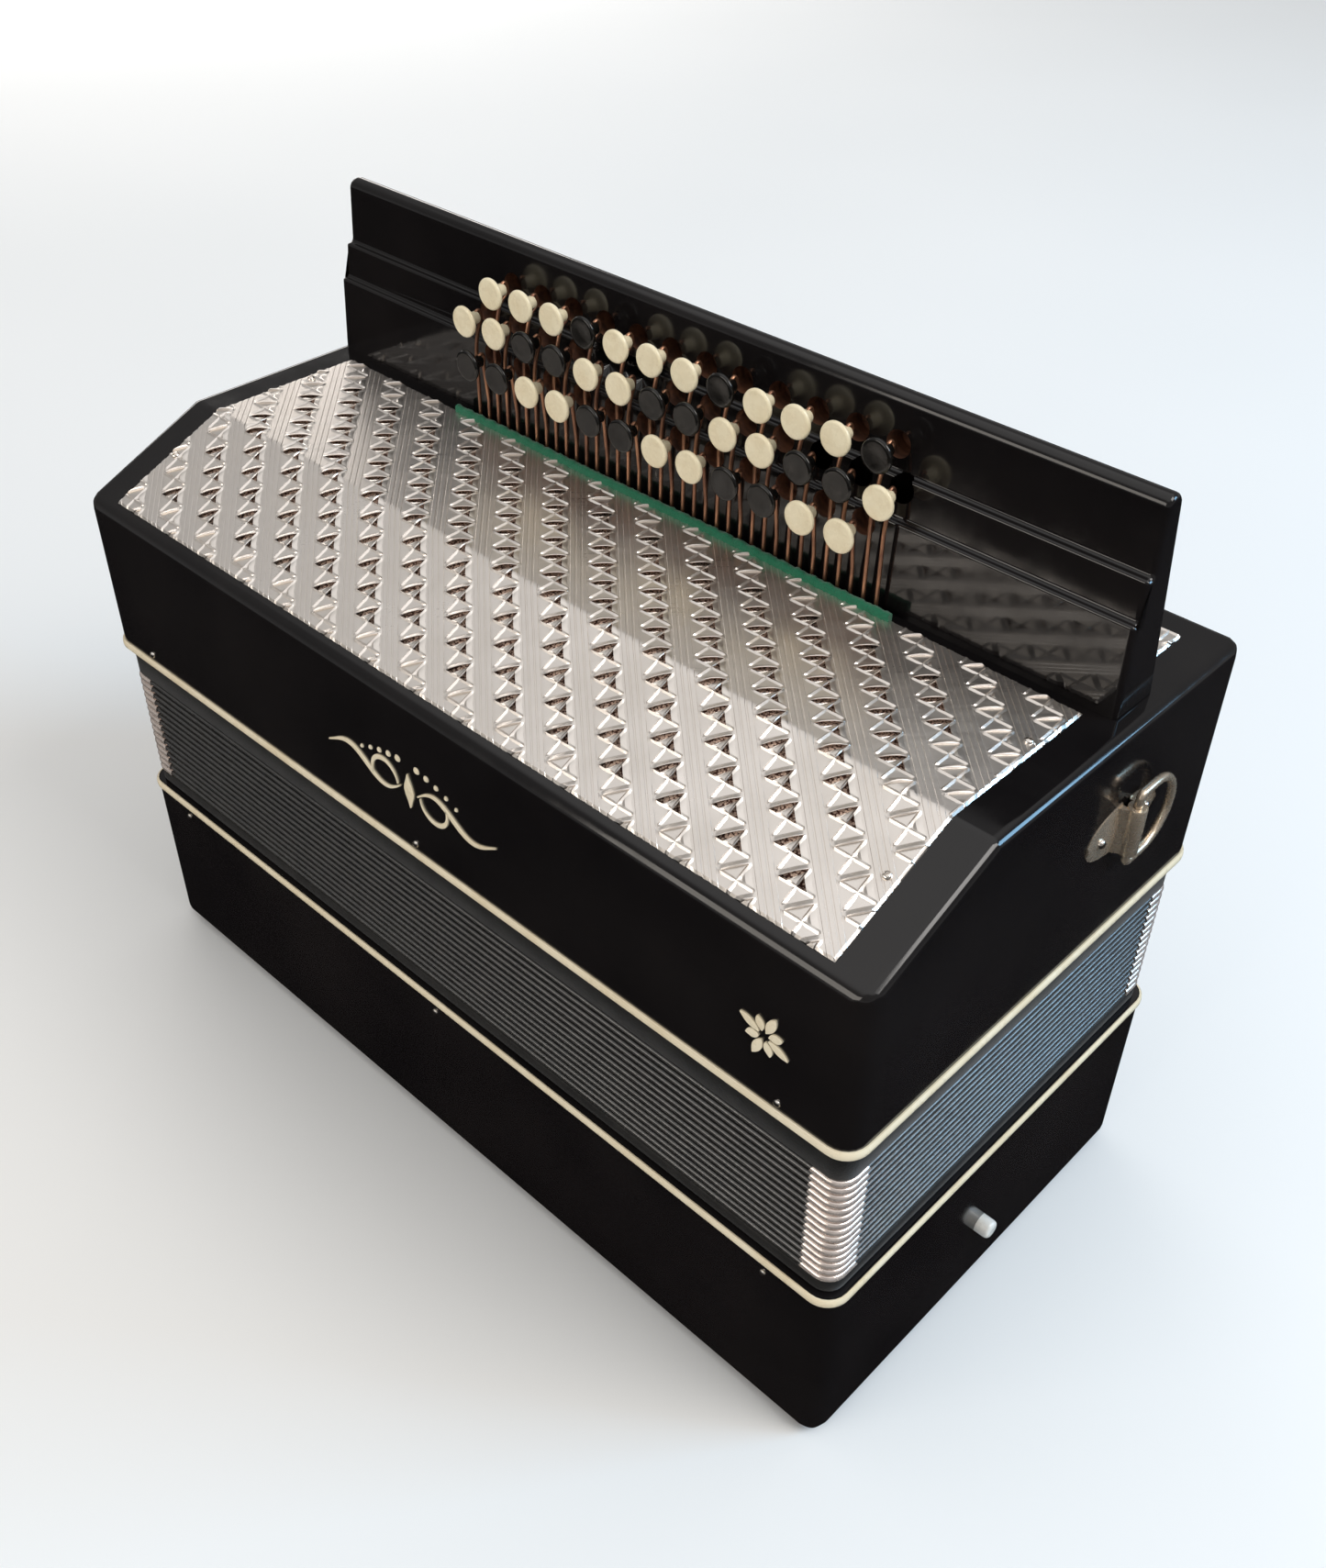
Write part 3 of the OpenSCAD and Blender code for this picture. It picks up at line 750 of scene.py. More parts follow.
def add_cell(bm, place, pierced):
    """One stamped cell: a crossed square, a hood and a ribbed strip. place takes (u, v, height)."""
    made = {}

    def vert(u, v, h, kind=0):
        key = (round(u, 3), round(v, 3), kind)
        if key not in made:
            made[key] = bm.verts.new(place(u, v, h))
        return made[key]

    def face(*corners):
        corners = list(dict.fromkeys(corners))
        if len(corners) > 2:
            bm.faces.new(corners)

    def sector_vert(side, r, t):
        u, v = ((-r, t), (t, r), (r, -t), (-t, -r))[side]
        h = ridge_height(u, v)
        inner = abs(t) < r - 1e-6
        if side == 0 and pierced:
            gap = t - open_until(r)
            if inner or open_until(r) > t - 1e-6:
                h -= 0.45 * max(0.0, 1 - gap / 2.5) * (r / HALF)
            return vert(u, v, h if inner else ridge_height(u, v), 1 if r == HALF else 0)
        if r == HALF:
            h = 0.0 if inner else 0.12
        if side == 1 and inner and r in (2.8, 4.0):
            h += 0.55 * (1 - (abs(t) / r) ** 2) * (1 if r == 2.8 else 0.7)
        return vert(u, v, h)

    ring_radii = [0.8, 1.8, 2.8, 4.0, 4.75, HALF]
    for side in range(4):
        steps = [side_steps(r) for r in ring_radii]
        if side == 0 and pierced:
            steps = [[max(t, open_until(r)) for t in row] for r, row in zip(ring_radii, steps)]
        for (r0, s0), (r1, s1) in zip(zip(ring_radii, steps), zip(ring_radii[1:], steps[1:])):
            if side == 1 and pierced and r1 <= 2.8:
                continue
            for i in range(8):
                a, b = sector_vert(side, r0, s0[i]), sector_vert(side, r0, s0[i + 1])
                c, d = sector_vert(side, r1, s1[i + 1]), sector_vert(side, r1, s1[i])
                face(a, b, c, d)
        if not (side == 1 and pierced):
            r, s = ring_radii[0], steps[0]
            centre = vert(0, 0, 0.42)
            for i in range(8):
                face(centre, sector_vert(side, r, s[i + 1]), sector_vert(side, r, s[i]))

    edge_steps = side_steps(HALF)
    hood_rows = [(-HALF, 0.9), (-HALF - 0.15, 1.0), (-HALF - 1.0, 0.56), (-HALF - 1.75, 0.08)]
    hood_rows.append((HALF - UNIT, 0.0))
    for (u0, h0), (u1, h1) in zip(hood_rows, hood_rows[1:]):
        for v0, v1 in zip(edge_steps, edge_steps[1:]):
            corners = []
            for u, h, v in ((u0, h0, v0), (u0, h0, v1), (u1, h1, v1), (u1, h1, v0)):
                at_corner = abs(abs(v) - HALF) < 1e-6
                raised = h * 0.92 * hood_height(v)
                if u == HALF - UNIT:
                    raised = 0.12 if at_corner else 0.0
                elif at_corner:
                    raised = 0.12
                corners.append(vert(u, v, raised, 2 if u == -HALF and not at_corner else 0))
            face(*corners)
    if not pierced:
        hood_edge = [vert(-HALF, v, 0, 0 if abs(abs(v) - HALF) < 1e-6 else 2) for v in edge_steps]
        pairs = zip(edge_steps, edge_steps[1:], hood_edge, hood_edge[1:])
        for v0, v1, high0, high1 in pairs:
            face(sector_vert(0, HALF, v0), sector_vert(0, HALF, v1), high1, high0)

    ribs = [(0.0, 0.0)]
    width = BAND_PITCH - CELL
    for centre in (0.2, 0.5, 0.8):
        middle = centre * width
        ribs += [(middle - 0.8, 0.0), (middle - 0.62, 0.2), (middle + 0.62, 0.2), (middle + 0.8, 0.0)]
    ribs.append((width, 0.0))
    rows = sorted({round(u, 3) for u in edge_steps} | {round(u, 3) for u, h in hood_rows})
    for u0, u1 in zip(rows, rows[1:]):
        for (v0, h0), (v1, h1) in zip(ribs, ribs[1:]):
            corners = []
            for u, v, h in ((u0, v0, h0), (u1, v0, h0), (u1, v1, h1), (u0, v1, h1)):
                slant = BAND_SHIFT * v / width
                edge = u in (rows[0], rows[-1]) or abs(abs(u) - HALF) < 1e-3
                flat = 0.12 if edge and v in (0.0, width) else h
                corners.append(vert(u + slant, HALF + v, flat, 0 if v == 0 else 3))
            face(*corners)


def slice_mesh(bm, point, normal, clear_outer=False):
    everything = bm.verts[:] + bm.edges[:] + bm.faces[:]
    bmesh.ops.bisect_plane(bm, geom=everything, plane_co=point, plane_no=normal, clear_outer=clear_outer)


def pattern_sheet(x_range, s_range, pierced_x, pierced_s):
    """A flat stamped sheet: x along the casing, y the developed distance s from the bend, z the height."""
    bm = bmesh.new()
    margin = 16
    column_step = BAND_PITCH * ACROSS + BAND_SHIFT * DOWN
    for column in range(-26, 16):
        for row in range(-32, 32):
            origin = Vector((PATTERN_X, PATTERN_S)) + column * column_step + row * UNIT * DOWN
            centre = origin + DOWN * HALF + ACROSS * HALF
            if not x_range[0] - margin < centre.x < x_range[1] + margin:
                continue
            if not s_range[0] - margin < centre.y < s_range[1] + margin:
                continue
            pierced = pierced_x[0] < centre.x < pierced_x[1] and pierced_s[0] < centre.y < pierced_s[1]

            def place(u, v, h, centre=centre):
                p = centre + u * DOWN + v * ACROSS
                return Vector((p.x, p.y, h))

            add_cell(bm, place, pierced)
    bmesh.ops.remove_doubles(bm, verts=bm.verts, dist=0.01)
    rim = 0.8
    for axis, limits in ((Vector((1, 0, 0)), x_range), (Vector((0, 1, 0)), s_range)):
        for limit, normal in zip(limits, (-axis, axis)):
            slice_mesh(bm, limit * axis, normal, clear_outer=True)
            slice_mesh(bm, limit * axis - rim * normal, normal)
    for v in bm.verts:
        gap = min(v.co.x - x_range[0], x_range[1] - v.co.x, v.co.y - s_range[0], s_range[1] - v.co.y)
        if gap < rim:
            v.co.z -= 0.75 * (1 - gap / rim)
    return bm


def over_the_bend(p):
    """From (x, s, height) on the developed sheet to its place on the casing's top."""
    arc = BEND_R * TILT / 2
    run = BEND_R * math.tan(TILT / 2)
    if p.y >= arc:
        tilt, y, z = 0.0, BEND_Y + run + p.y - arc, TOP
    elif p.y <= -arc:
        tilt = TILT
        y = BEND_Y + (p.y + arc) * math.cos(TILT) - run * math.cos(TILT)
        z = TOP + (p.y + arc) * math.sin(TILT) - run * math.sin(TILT)
    else:
        tilt = TILT * (arc - p.y) / (2 * arc)
        y = BEND_Y + run - BEND_R * math.sin(tilt)
        z = TOP - BEND_R + BEND_R * math.cos(tilt)
    up = p.z + SHEET_UP
    return Vector((p.x, y - up * math.sin(tilt), z + up * math.cos(tilt)))


def thickened(obj, thickness, offset=0.0):
    solid = obj.modifiers.new("sheet", "SOLIDIFY")
    solid.thickness = thickness * MM
    solid.offset = offset
    return finished(obj)


def grille_sheet(name, s_range, pierced_s):
    """A stamped sheet bent over the casing's top, s_range long. The holes stay within pierced_s."""
    bm = pattern_sheet((GRILLE_LOW.x, GRILLE_HIGH.x), s_range, (-172, 172), pierced_s)
    for step in (-1, -0.5, 0, 0.5, 1):
        slice_mesh(bm, (0, step * BEND_R * TILT / 2, 0), (0, 1, 0))
    for v in bm.verts:
        v.co = over_the_bend(v.co)
    obj = to_piece(name, bm, GRILLE, "treble_grille", smooth=35)
    thickened(obj, SHEET_T)
    return crisp(obj, 21)


def cloth_behind_grille(name, stations):
    """Cloth stretched under a pierced sheet, in slight waves. stations are places along Y."""
    bm = bmesh.new()
    steps = 60
    width = GRILLE_HIGH.x - GRILLE_LOW.x - 2 * GLUED
    rings = []
    for i in range(steps + 1):
        x = GRILLE_LOW.x + GLUED + width * i / steps
        ring = []
        for y in stations:
            z = TOP - max(0.0, BEND_Y - y) * math.tan(TILT)
            z -= 1.0 + 0.15 * math.sin(x / 17) * math.cos(y / 13)
            ring.append(Vector((x, y, z)))
        rings.append(ring)
    add_loft(bm, rings, closed=False)
    obj = to_piece(name, bm, CLOTH, body="treble_side", smooth=60)
    thickened(obj, 0.3, offset=-1.0)
    return obj


def screws(name, body, places, r):
    """Slotted round-head screws. places are (centre, axis)."""
    bm = bmesh.new()
    head = [(0.55 * r, 0.62 * r), (0.85 * r, 0.4 * r), (r, 0.1 * r), (r, -0.35 * r), (0, -0.35 * r)]
    for centre, axis in places:
        add_lathe(bm, [(0, 0.72 * r)] + head, centre, axis, seg=24)
    obj = to_piece(name, bm, PIN_STEEL, body=body, slot="bracket_nickel")
    slots = bmesh.new()
    for centre, axis in places:
        turn = Vector((0, 0, 1)).rotation_difference(Vector(axis)).to_matrix()
        turn = turn @ Matrix.Rotation(centre[0] * 0.7 + centre[1], 3, "Z")
        floor_ring = [(-1.1 * r, -0.16 * r), (1.1 * r, -0.16 * r), (1.1 * r, 0.16 * r), (-1.1 * r, 0.16 * r)]
        rings = [[Vector(centre) + turn @ Vector((x, y, z)) for x, y in floor_ring] for z in (0.4 * r, r)]
        add_loft(slots, rings, caps=True)
    cut(obj, slots, [PIN_STEEL])
    return crisp(obj)


def grille_screws():
    slope = Vector((0, -math.sin(TILT), math.cos(TILT)))
    places = []
    for sx in (-1, 1):
        places.append(((sx * 188, 1, TOP + 1.0), (0, 0, 1)))
        y = -70.5
        z = TOP - (BEND_Y - y) * math.tan(TILT)
        places.append((tuple(Vector((sx * 188, y, z)) + slope * 1.0), tuple(slope)))
        places.append(((sx * 187, 75, TOP + 1.0), (0, 0, 1)))
    return screws("grille_screws", "treble_side", places, 1.7)


# ---- keyboard ----

def rounded_outline(corners):
    """A closed outline from (y, z, radius) corners, each rounded by an arc."""
    points = []
    n = len(corners)
    seg = 5
    for i, (y, z, r) in enumerate(corners):
        here = Vector((y, z))
        before = Vector(corners[i - 1][:2]) - here
        after = Vector(corners[(i + 1) % n][:2]) - here
        if r <= 0:
            points.append(here)
            continue
        a, b = before.normalized(), after.normalized()
        half = math.acos(max(-1, min(1, a.dot(b)))) / 2
        reach = r / math.tan(half)
        centre = here + (a + b).normalized() * (r / math.sin(half))
        start = here + a * reach - centre
        sweep = start.angle_signed(here + b * reach - centre)
        for k in range(seg + 1):
            turned = start.copy()
            turned.rotate(Matrix.Rotation(-sweep * k / seg, 2))
            points.append(centre + turned)
    return points


def inset(points, d):
    """The outline moved inwards by d. The points run anticlockwise as seen from +X."""
    moved = []
    n = len(points)
    for i, p in enumerate(points):
        along = (points[(i + 1) % n] - points[i - 1]).normalized()
        moved.append(p + Vector((-along.y, along.x)) * d)
    return moved


def key_place(name):
    """(x, height of the button's centre, y of the button's face) of a treble key, from its CAD solid."""
    low, high = box_mm(name)
    shown = [v.co.y / MM for v in frame["nodes"][name].data.vertices if v.co.z / MM > TOP + 12]
    return (low.x + high.x) / 2, high.z - 6.5, min(shown)


def keyboard_board():
    z0 = BOARD_LOW.z
    high = BOARD_HIGH.z - z0
    corners = [
        (31, 0, 0), (54, 0, 0), (48.8, high - 1, 4.2), (40.4, high, 4.0),
        (39.2, 49.6, 1.6), (36.2, 49.6, 1.3), (35, 34.8, 1.6), (32.2, 34.8, 1.3),
    ]
    outline = rounded_outline(corners)
    taper = 3.0 / high
    soft = 2.2
    rings = []
    stations = []
    for k in range(6):
        a = math.radians(90 * k / 5)
        stations.append((soft * (1 - math.sin(a)), soft * (1 - math.cos(a))))
    for s in (-1, 1):
        ordered = stations if s < 0 else list(reversed(stations))
        for shrink, back in ordered:
            ring = []
            for p in inset(outline, shrink):
                x = BOARD_HIGH.x - taper * p.y - back
                ring.append(Vector((s * x, p.x, z0 + max(0.0, p.y))))
            rings.append(ring)
    bm = bmesh.new()
    add_loft(bm, rings, caps=True)
    obj = to_piece("keyboard_board_body", bm, [LACQUER, SHADED_HOLE_WOOD], "keyboard_board")
    # the holes' walls take the darker copy of the wood, painted shade inside them
    holes = bmesh.new()
    for name in KEYS:
        x, z, y = key_place(name)
        add_lathe(holes, [(0, 9), (5.1, 9), (5.1, 22), (0, 22)], (x, y, z), (0, 1, 0), seg=28, material=1)
    cut(obj, holes, [LACQUER, SHADED_HOLE_WOOD])
    return crisp(obj, 32)


MUSHROOM = [
    (0, 0.2), (3.0, 0.14), (5.1, 0.02), (5.8, 0.03), (6.25, 0.3), (6.48, 0.85), (6.42, 1.45), (6.05, 1.95),
    (4.6, 2.35), (3.3, 2.7), (2.8, 3.2), (2.62, 4.2), (2.6, 7.2), (2.35, 7.7), (1.6, 7.9), (0, 7.9),
]


def treble_key(i, name):
    """The mushroom button of one key, and its bent lever down to the pallet."""
    x, z, y = key_place(name)
    bm = bmesh.new()
    add_lathe(bm, MUSHROOM, (x, y, z), (0, 1, 0), seg=36)
    plastic = BUTTON_BLACK if SLOT_OF[name] == "black_button" else BUTTON_CREAM
    to_piece(f"button_{i + 1:02d}", bm, plastic, name, smooth=40)
    axle_z = TOP - 17
    hub = y + 7.6
    rise = 12 if i % 3 == 1 else 36
    bend = min(rise, z - TOP - 14)
    path = [(x, WIRE_Y, axle_z), (x, WIRE_Y, TOP), (x, WIRE_Y, TOP + bend * 0.7), (x, WIRE_Y, TOP + bend)]
    path += [(x, (WIRE_Y + hub + 1) / 2, z - 7), (x, hub + 1.7, z - 2.2), (x, hub + 2.2, z + 0.6)]
    path += [(x, hub + 1.3, z + 2.5), (x, hub - 0.3, z + 2.2), (x, hub - 1.2, z + 0.6)]
    bm = bmesh.new()
    add_tube(bm, smooth_path(path, 5), 0.8, seg=8)
    hinge = [(1.6, -2.5), (3.4, -2.5), (3.4, 2.5), (1.6, 2.5), (1.6, -2.5)]
    add_lathe(bm, hinge, (x, WIRE_Y, axle_z), (1, 0, 0), seg=20)
    arm = [(x, WIRE_Y - 3, axle_z - 0.6), (x, 0, axle_z - 0.3), (x, -42, axle_z - 0.3)]
    arm += [(x, -44.5, axle_z - 2), (x, -45, 220)]
    add_tube(bm, smooth_path(arm, 5), 1.1, seg=8)
    low, high = box_mm(name)
    pallet_top = low.z + 5
    for z0, z1, grow in ((low.z, low.z + 1.6, 0), (low.z + 1.6, pallet_top, -0.15)):
        ring = round_rect(4.5 + 2 * grow, 33.8 + 2 * grow, 1.0, 0, seg=3)
        rings = [[Vector((x + p.x, p.y - 45, h)) for p in ring] for h in (z0, z1)]
        add_loft(bm, rings, caps=True, material=1 if grow == 0 else 2)
    return to_piece(f"lever_{i + 1:02d}_wire", bm, [COPPER, FELT, WOOD], name, slot="copper_wire", smooth=50)


def felt_strip():
    """Green felt that damps the levers, in front of the wires, its edge a little uneven."""
    bm = bmesh.new()
    steps = 220
    x0, x1 = -118, 114
    rings = []
    for i in range(steps + 1):
        x = x0 + (x1 - x0) * i / steps
        wob = 0.16 * math.sin(x * 0.9) + 0.12 * math.sin(x * 2.3 + 1) + 0.1 * math.sin(x * 5.1)
        lean = 0.25 * math.sin(x / 21)
        y0, y1 = 24.5 + lean, 27.0 + lean + 0.2 * math.sin(x * 1.7)
        z0, z1 = TOP - 2, TOP + 3.9 + wob
        ring = [(x, y0, z0), (x, y1, z0), (x, y1 + 0.05, z1 - 0.7), (x, y1 - 0.5, z1 - 0.1)]
        ring.append((x, (y0 + y1) / 2, z1 + 0.12 * math.sin(x * 7)))
        ring += [(x, y0 + 0.5, z1 - 0.1), (x, y0 - 0.05, z1 - 0.7)]
        rings.append([Vector(p) for p in ring])
    add_loft(bm, rings, caps=True)
    return to_piece("lever_felt", bm, FELT, body="treble_side", slot="green_felt", smooth=60)


# ---- strap brackets and rings ----

def strap_bracket(side):
    """Leaf-shaped plate with a rolled knuckle and two screws. side is 1 at the right end, -1 at the left."""
    name = "right" if side > 0 else "left"
    ring_low, ring_high = box_mm("strap_ring_" + name)
    z = (ring_low.z + ring_high.z) / 2
    y0 = BRACKET_Y
    out = 3.5 + 1.2
    bm = bmesh.new()
    # the plate: a leaf on each side of the knuckle, crowned towards its middle
    rows = 16
    length, half_high = 21.5, 10.5
    across = [-1 + k / 4 for k in range(9)]
    for s in (-1, 1):
        rings = []
        for i in range(rows + 1):
            t = i / rows
            y = y0 + s * (2.2 + (length - 2.2) * t)
            w = half_high * math.sqrt(max(0.0, 1 - (t * 0.98) ** 3)) * (1 - 0.2 * t)
            face = [(1.15 * (1 - c * c) * (1 - 0.35 * t) + 0.25, c) for c in across]
            face += [(-0.1, c) for c in reversed(across)]
            rings.append([Vector((side * (END_X + out), y, z + c * w)) for out, c in face])
        add_loft(bm, rings, caps=True)
    # the knuckle, rolled over the ring's pin, and the flanks down to the plate
    centre = (side * (END_X + out), y0, z)
    knuckle = [(1.7, -10), (3.3, -10), (3.5, -9.7), (3.5, 9.7), (3.3, 10), (1.7, 10), (1.7, -10)]
    add_lathe(bm, knuckle, centre, (0, 0, 1), seg=28)
    for s in (-1, 1):
        flank = [(out - 0.4, 3.2), (out - 1.4, 2.2), (0, 2.2), (0, 5.2), (1.4, 4.6), (out - 1.6, 3.6)]
        rings = [[Vector((side * (END_X + x), y0 + s * y, z + h)) for x, y in flank] for h in (-9.6, 9.6)]
        add_loft(bm, rings, caps=True)
    plate = to_piece(f"strap_bracket_{name}", bm, NICKEL, "strap_brackets", smooth=40)
    places = [((side * (END_X + 1.2), y0 + s * 14.0, z), (side, 0, 0)) for s in (-1, 1)]
    screws(f"bracket_screws_{name}", "treble_side", places, 2.0)
    return plate


def strap_ring(side):
    name = "right" if side > 0 else "left"
    low, high = box_mm("strap_ring_" + name)
    x = (low.x + high.x) / 2
    z = (low.z + high.z) / 2
    r = 15.0
    arm = 10.0
    y0 = BRACKET_Y
    bend = 2.2
    turns = [math.radians(18 * k) for k in range(1, 6)]
    corner = [(bend * (1 - math.cos(a)), r - bend + bend * math.sin(a)) for a in turns]
    bow = [(arm + r * math.sin(k * math.pi / 16), r * math.cos(k * math.pi / 16)) for k in range(17)]
    path = [(0, h) for h in (-8, -4, 0, 4, 8)] + corner + bow + [(y, -h) for y, h in reversed(corner)]
    bm = bmesh.new()
    add_tube(bm, [Vector((x, y0 + y, z + h)) for y, h in path], 1.6, seg=14, loop=True)
    return to_piece(f"strap_ring_{name}_wire", bm, NICKEL, f"strap_ring_{name}", smooth=60)


# ---- bass side ----

def bass_buttons():
    bm = bmesh.new()
    head = [(0, 0), (1.8, 0.06), (3.1, 0.35), (3.8, 1.0), (4.0, 1.8), (4.0, 8.0), (5.5, 8.1), (5.5, 9.8)]
    head += [(1.5, 10), (1.4, 38), (0, 38)]
    for i in range(8):
        for j in range(5):
            place = ((i - 3.5) * 17, -80 + j * 14, PANEL_LOW.z - 5)
            add_lathe(bm, head, place, (0, 0, 1), seg=24)
    return to_piece("bass_button_heads", bm, BASS_IVORY, "bass_buttons", smooth=40)


def air_button():
    low, high = box_mm("air_button")
    centre = (high.x, (low.y + high.y) / 2, (low.z + high.z) / 2)
    cap = [(0, 0.25), (2.0, 0.1), (3.1, 0.25), (3.75, 0.8), (4.0, 1.6), (4.0, 12), (6, 12.3), (6, 14)]
    cap += [(1.5, 14.3), (1.5, 50), (0, 50)]
    bm = bmesh.new()
    add_lathe(bm, cap, centre, (-1, 0, 0), seg=32)
    return to_piece("air_button_cap", bm, WHITE, "air_button", smooth=40)


def foot_pads():
    bm = bmesh.new()
    low, high = box_mm("feet")
    r = 8
    pad = [(0, 0.9), (2.2, 0.9), (2.6, 0.9), (3.2, 0), (7.0, 0), (7.7, 0.4), (8.0, 1.2), (7.8, 24), (0, 24)]
    for sx in (-1, 1):
        for sy in (-1, 1):
            add_lathe(bm, pad, (sx * (high.x - r), sy * (high.y - r), low.z), (0, 0, 1), seg=32)
    return to_piece("rubber_feet", bm, RUBBER, "feet", smooth=40)


def hand_strap():
    """Leather strap bowed between two end blocks, with padded edges, and rows of stitches."""
    low, high = box_mm("hand_strap")
    steps = 60
    thick = 3.0
    across = (0, 0.04, 0.12, 0.3, 0.5, 0.7, 0.88, 0.96, 1)

    def rise(x):
        t = abs(x) / high.x
        return low.z + (PANEL_LOW.z - 3.4 - low.z) * max(0.0, (t - 0.86) / 0.14) ** 1.6

    bm = bmesh.new()
    rings = []
    for i in range(steps + 1):
        x = low.x + (high.x - low.x) * i / steps
        z = rise(x)
        narrow = 1.5 * (abs(x) / high.x) ** 2
        y0, y1 = low.y + narrow, high.y - narrow
        section = []
        for t in across:
            puff = 0.35 * abs(math.sin(math.pi * t)) ** 0.5
            section.append((t, 0.45 - puff + (0.5 if t in (0, 1) else 0)))
        section += [(t, thick - (0.5 if t in (0, 1) else 0.1)) for t in reversed(across)]
        rings.append([Vector((x, y0 + (y1 - y0) * t, z + h)) for t, h in section])
    add_loft(bm, rings, caps=True)
    strap = to_piece("hand_strap_leather", bm, LEATHER, "hand_strap", smooth=60)
    bm = bmesh.new()
    for y in (low.y + 4.5, high.y - 4.5):
        for k in range(int(2 * (high.x - 8) / 6)):
            x = -high.x + 9 + 6 * k
            z0 = rise(x)
            z1 = rise(x + 4)
            path = [(0, z0 + 0.5), (0.6, z0 + 0.05), (3.4, z1 + 0.05), (4, z1 + 0.5)]
            add_tube(bm, [Vector((x + dx, y, z)) for dx, z in path], 0.38, seg=6)
    to_piece("hand_strap_stitches", bm, THREAD, body="bass_side", slot="strap_leather", smooth=60)
    screw_x = high.x - 8
    places = [((s * screw_x, y, rise(screw_x) + 0.3), (0, 0, -1)) for s in (-1, 1) for y in (38, 54, 70)]
    screws("strap_screws", "bass_side", places, 3.0)
    return strap


# ---- ornaments on the front ----

def add_stroke(bm, points, widths):
    """A raised ribbon in the front plane along (x, z) points, with its own width at each point."""
    rings = []
    n = len(points)
    for i, p in enumerate(points):
        ahead, behind = points[min(i + 1, n - 1)], points[max(i - 1, 0)]
        along = (ahead - behind).normalized()
        side = Vector((-along.y, along.x)) * widths[i] / 2
        section = [(1, -0.3), (1, 0.525), (0.7, 0.7), (-0.7, 0.7), (-1, 0.525), (-1, -0.3)]
        rings.append([Vector((p.x + side.x * w, FRONT_Y - out, p.y + side.y * w)) for w, out in section])
    add_loft(bm, rings, caps=True)


def front_ornament():
    """A plain scroll: waves and curls that run out from a small lozenge, under a string of pearls."""
    bm = bmesh.new()
    mid = Vector((0, 200))
    for s in (-1, 1):
        points = []
        widths = []
        for i in range(33):
            t = i / 32
            wave = 5.5 * math.sin(2.1 * math.pi * t) * (1 - 0.35 * t)
            points.append(mid + s * Vector((5 + 43 * t, wave)))
            widths.append(0.7 + 2.3 * math.sin(math.pi * t) ** 1.5)
        add_stroke(bm, points, widths)
        points = []
        widths = []
        for i in range(25):
            t = i / 24
            a = math.radians(200 * t)
            points.append(mid + Vector((s * (14 - 7.5 * math.cos(a)), s * (-7.5 * math.sin(a)))))
            widths.append(0.6 + 1.5 * math.sin(math.pi * t))
        add_stroke(bm, points, widths)
    points = [mid + Vector((0, h)) for h in (-8, -5, -2.5, 0, 2.5, 5, 8)]
    add_stroke(bm, points, [0.4, 2.6, 4.6, 5.6, 4.6, 2.6, 0.4])
    # the pearls are larger towards the middle
    pearl = [(0, 0.8), (0.45, 0.72), (0.82, 0.4), (1.0, 0), (1.0, -0.3), (0, -0.3)]
    for k in range(-5, 6):
        if k == 0:
            continue
        size = 1.75 - 0.17 * abs(k)
        place = (5.4 * k, FRONT_Y, mid.y + 12.5 - 0.24 * k * k)
        add_lathe(bm, [(r * size, h) for r, h in pearl], place, (0, -1, 0), seg=20)
    return to_piece("front_scroll", bm, CREAM, body="treble_side", slot="cream_strip", smooth=35)


def front_rosette():
    """A small plain rosette near the right-hand corner."""
    bm = bmesh.new()
    mid = Vector((173, 200.5))
    for k in range(8):
        a = math.radians(45 * k + 22.5)
        out = Vector((math.cos(a), math.sin(a)))
        far = 11 if k % 2 else 8
        points = [mid + out * (2.2 + (far - 2.2) * t / 8) for t in range(9)]
        widths = [0.5 + 3.1 * math.sin(math.pi * t / 8) ** 0.8 for t in range(9)]
        add_stroke(bm, points, widths)
    return to_piece("front_rosette", bm, CREAM, body="treble_side", slot="cream_strip", smooth=35)


# ---- build ----

treble_casing()
bass_casing()
trim("treble_trim_strip", "treble_trim")
trim("bass_trim_strip", "bass_trim")
bellows_frame("bass_bellows_ring", "bass_bellows_frame", BASS_HIGH.z, FOLDS_LOW.z, BASS_HIGH.z - 12)
bellows_frame("treble_bellows_ring", "treble_bellows_frame", FOLDS_HIGH.z, TREBLE_LOW.z, TREBLE_LOW.z + 12)
for fold in range(FOLDS):
    crest(fold)
    corner_guards(fold)
for fold in range(FOLDS + 1):
    pleat(fold)
pins("bellows_pins_treble", "treble_side", TREBLE_LOW.z + 6.8)
pins("bellows_pins_bass", "bass_side", BASS_HIGH.z - 9.2)
front_s = -(BEND_Y - GRILLE_LOW.y) / math.cos(TILT)
grille_sheet("treble_grille_sheet", (front_s, 26.5 - BEND_Y), (-49.5, 54))
grille_sheet("rear_grille_sheet", (60 - BEND_Y, 90 - BEND_Y), (70.5 - BEND_Y, 79.5 - BEND_Y))
cloth_behind_grille("grille_cloth_front", [GRILLE_LOW.y + GLUED, BEND_Y - 2, BEND_Y + 2, -20, 0, 17.3])
cloth_behind_grille("grille_cloth_rear", [65.2, 75, 84.8])
grille_screws()
keyboard_board()
for number, key_node in enumerate(KEYS):
    treble_key(number, key_node)
felt_strip()
for end in (-1, 1):
    strap_bracket(end)
    strap_ring(end)
bass_buttons()
air_button()
foot_pads()
hand_strap()
front_ornament()
front_rosette()

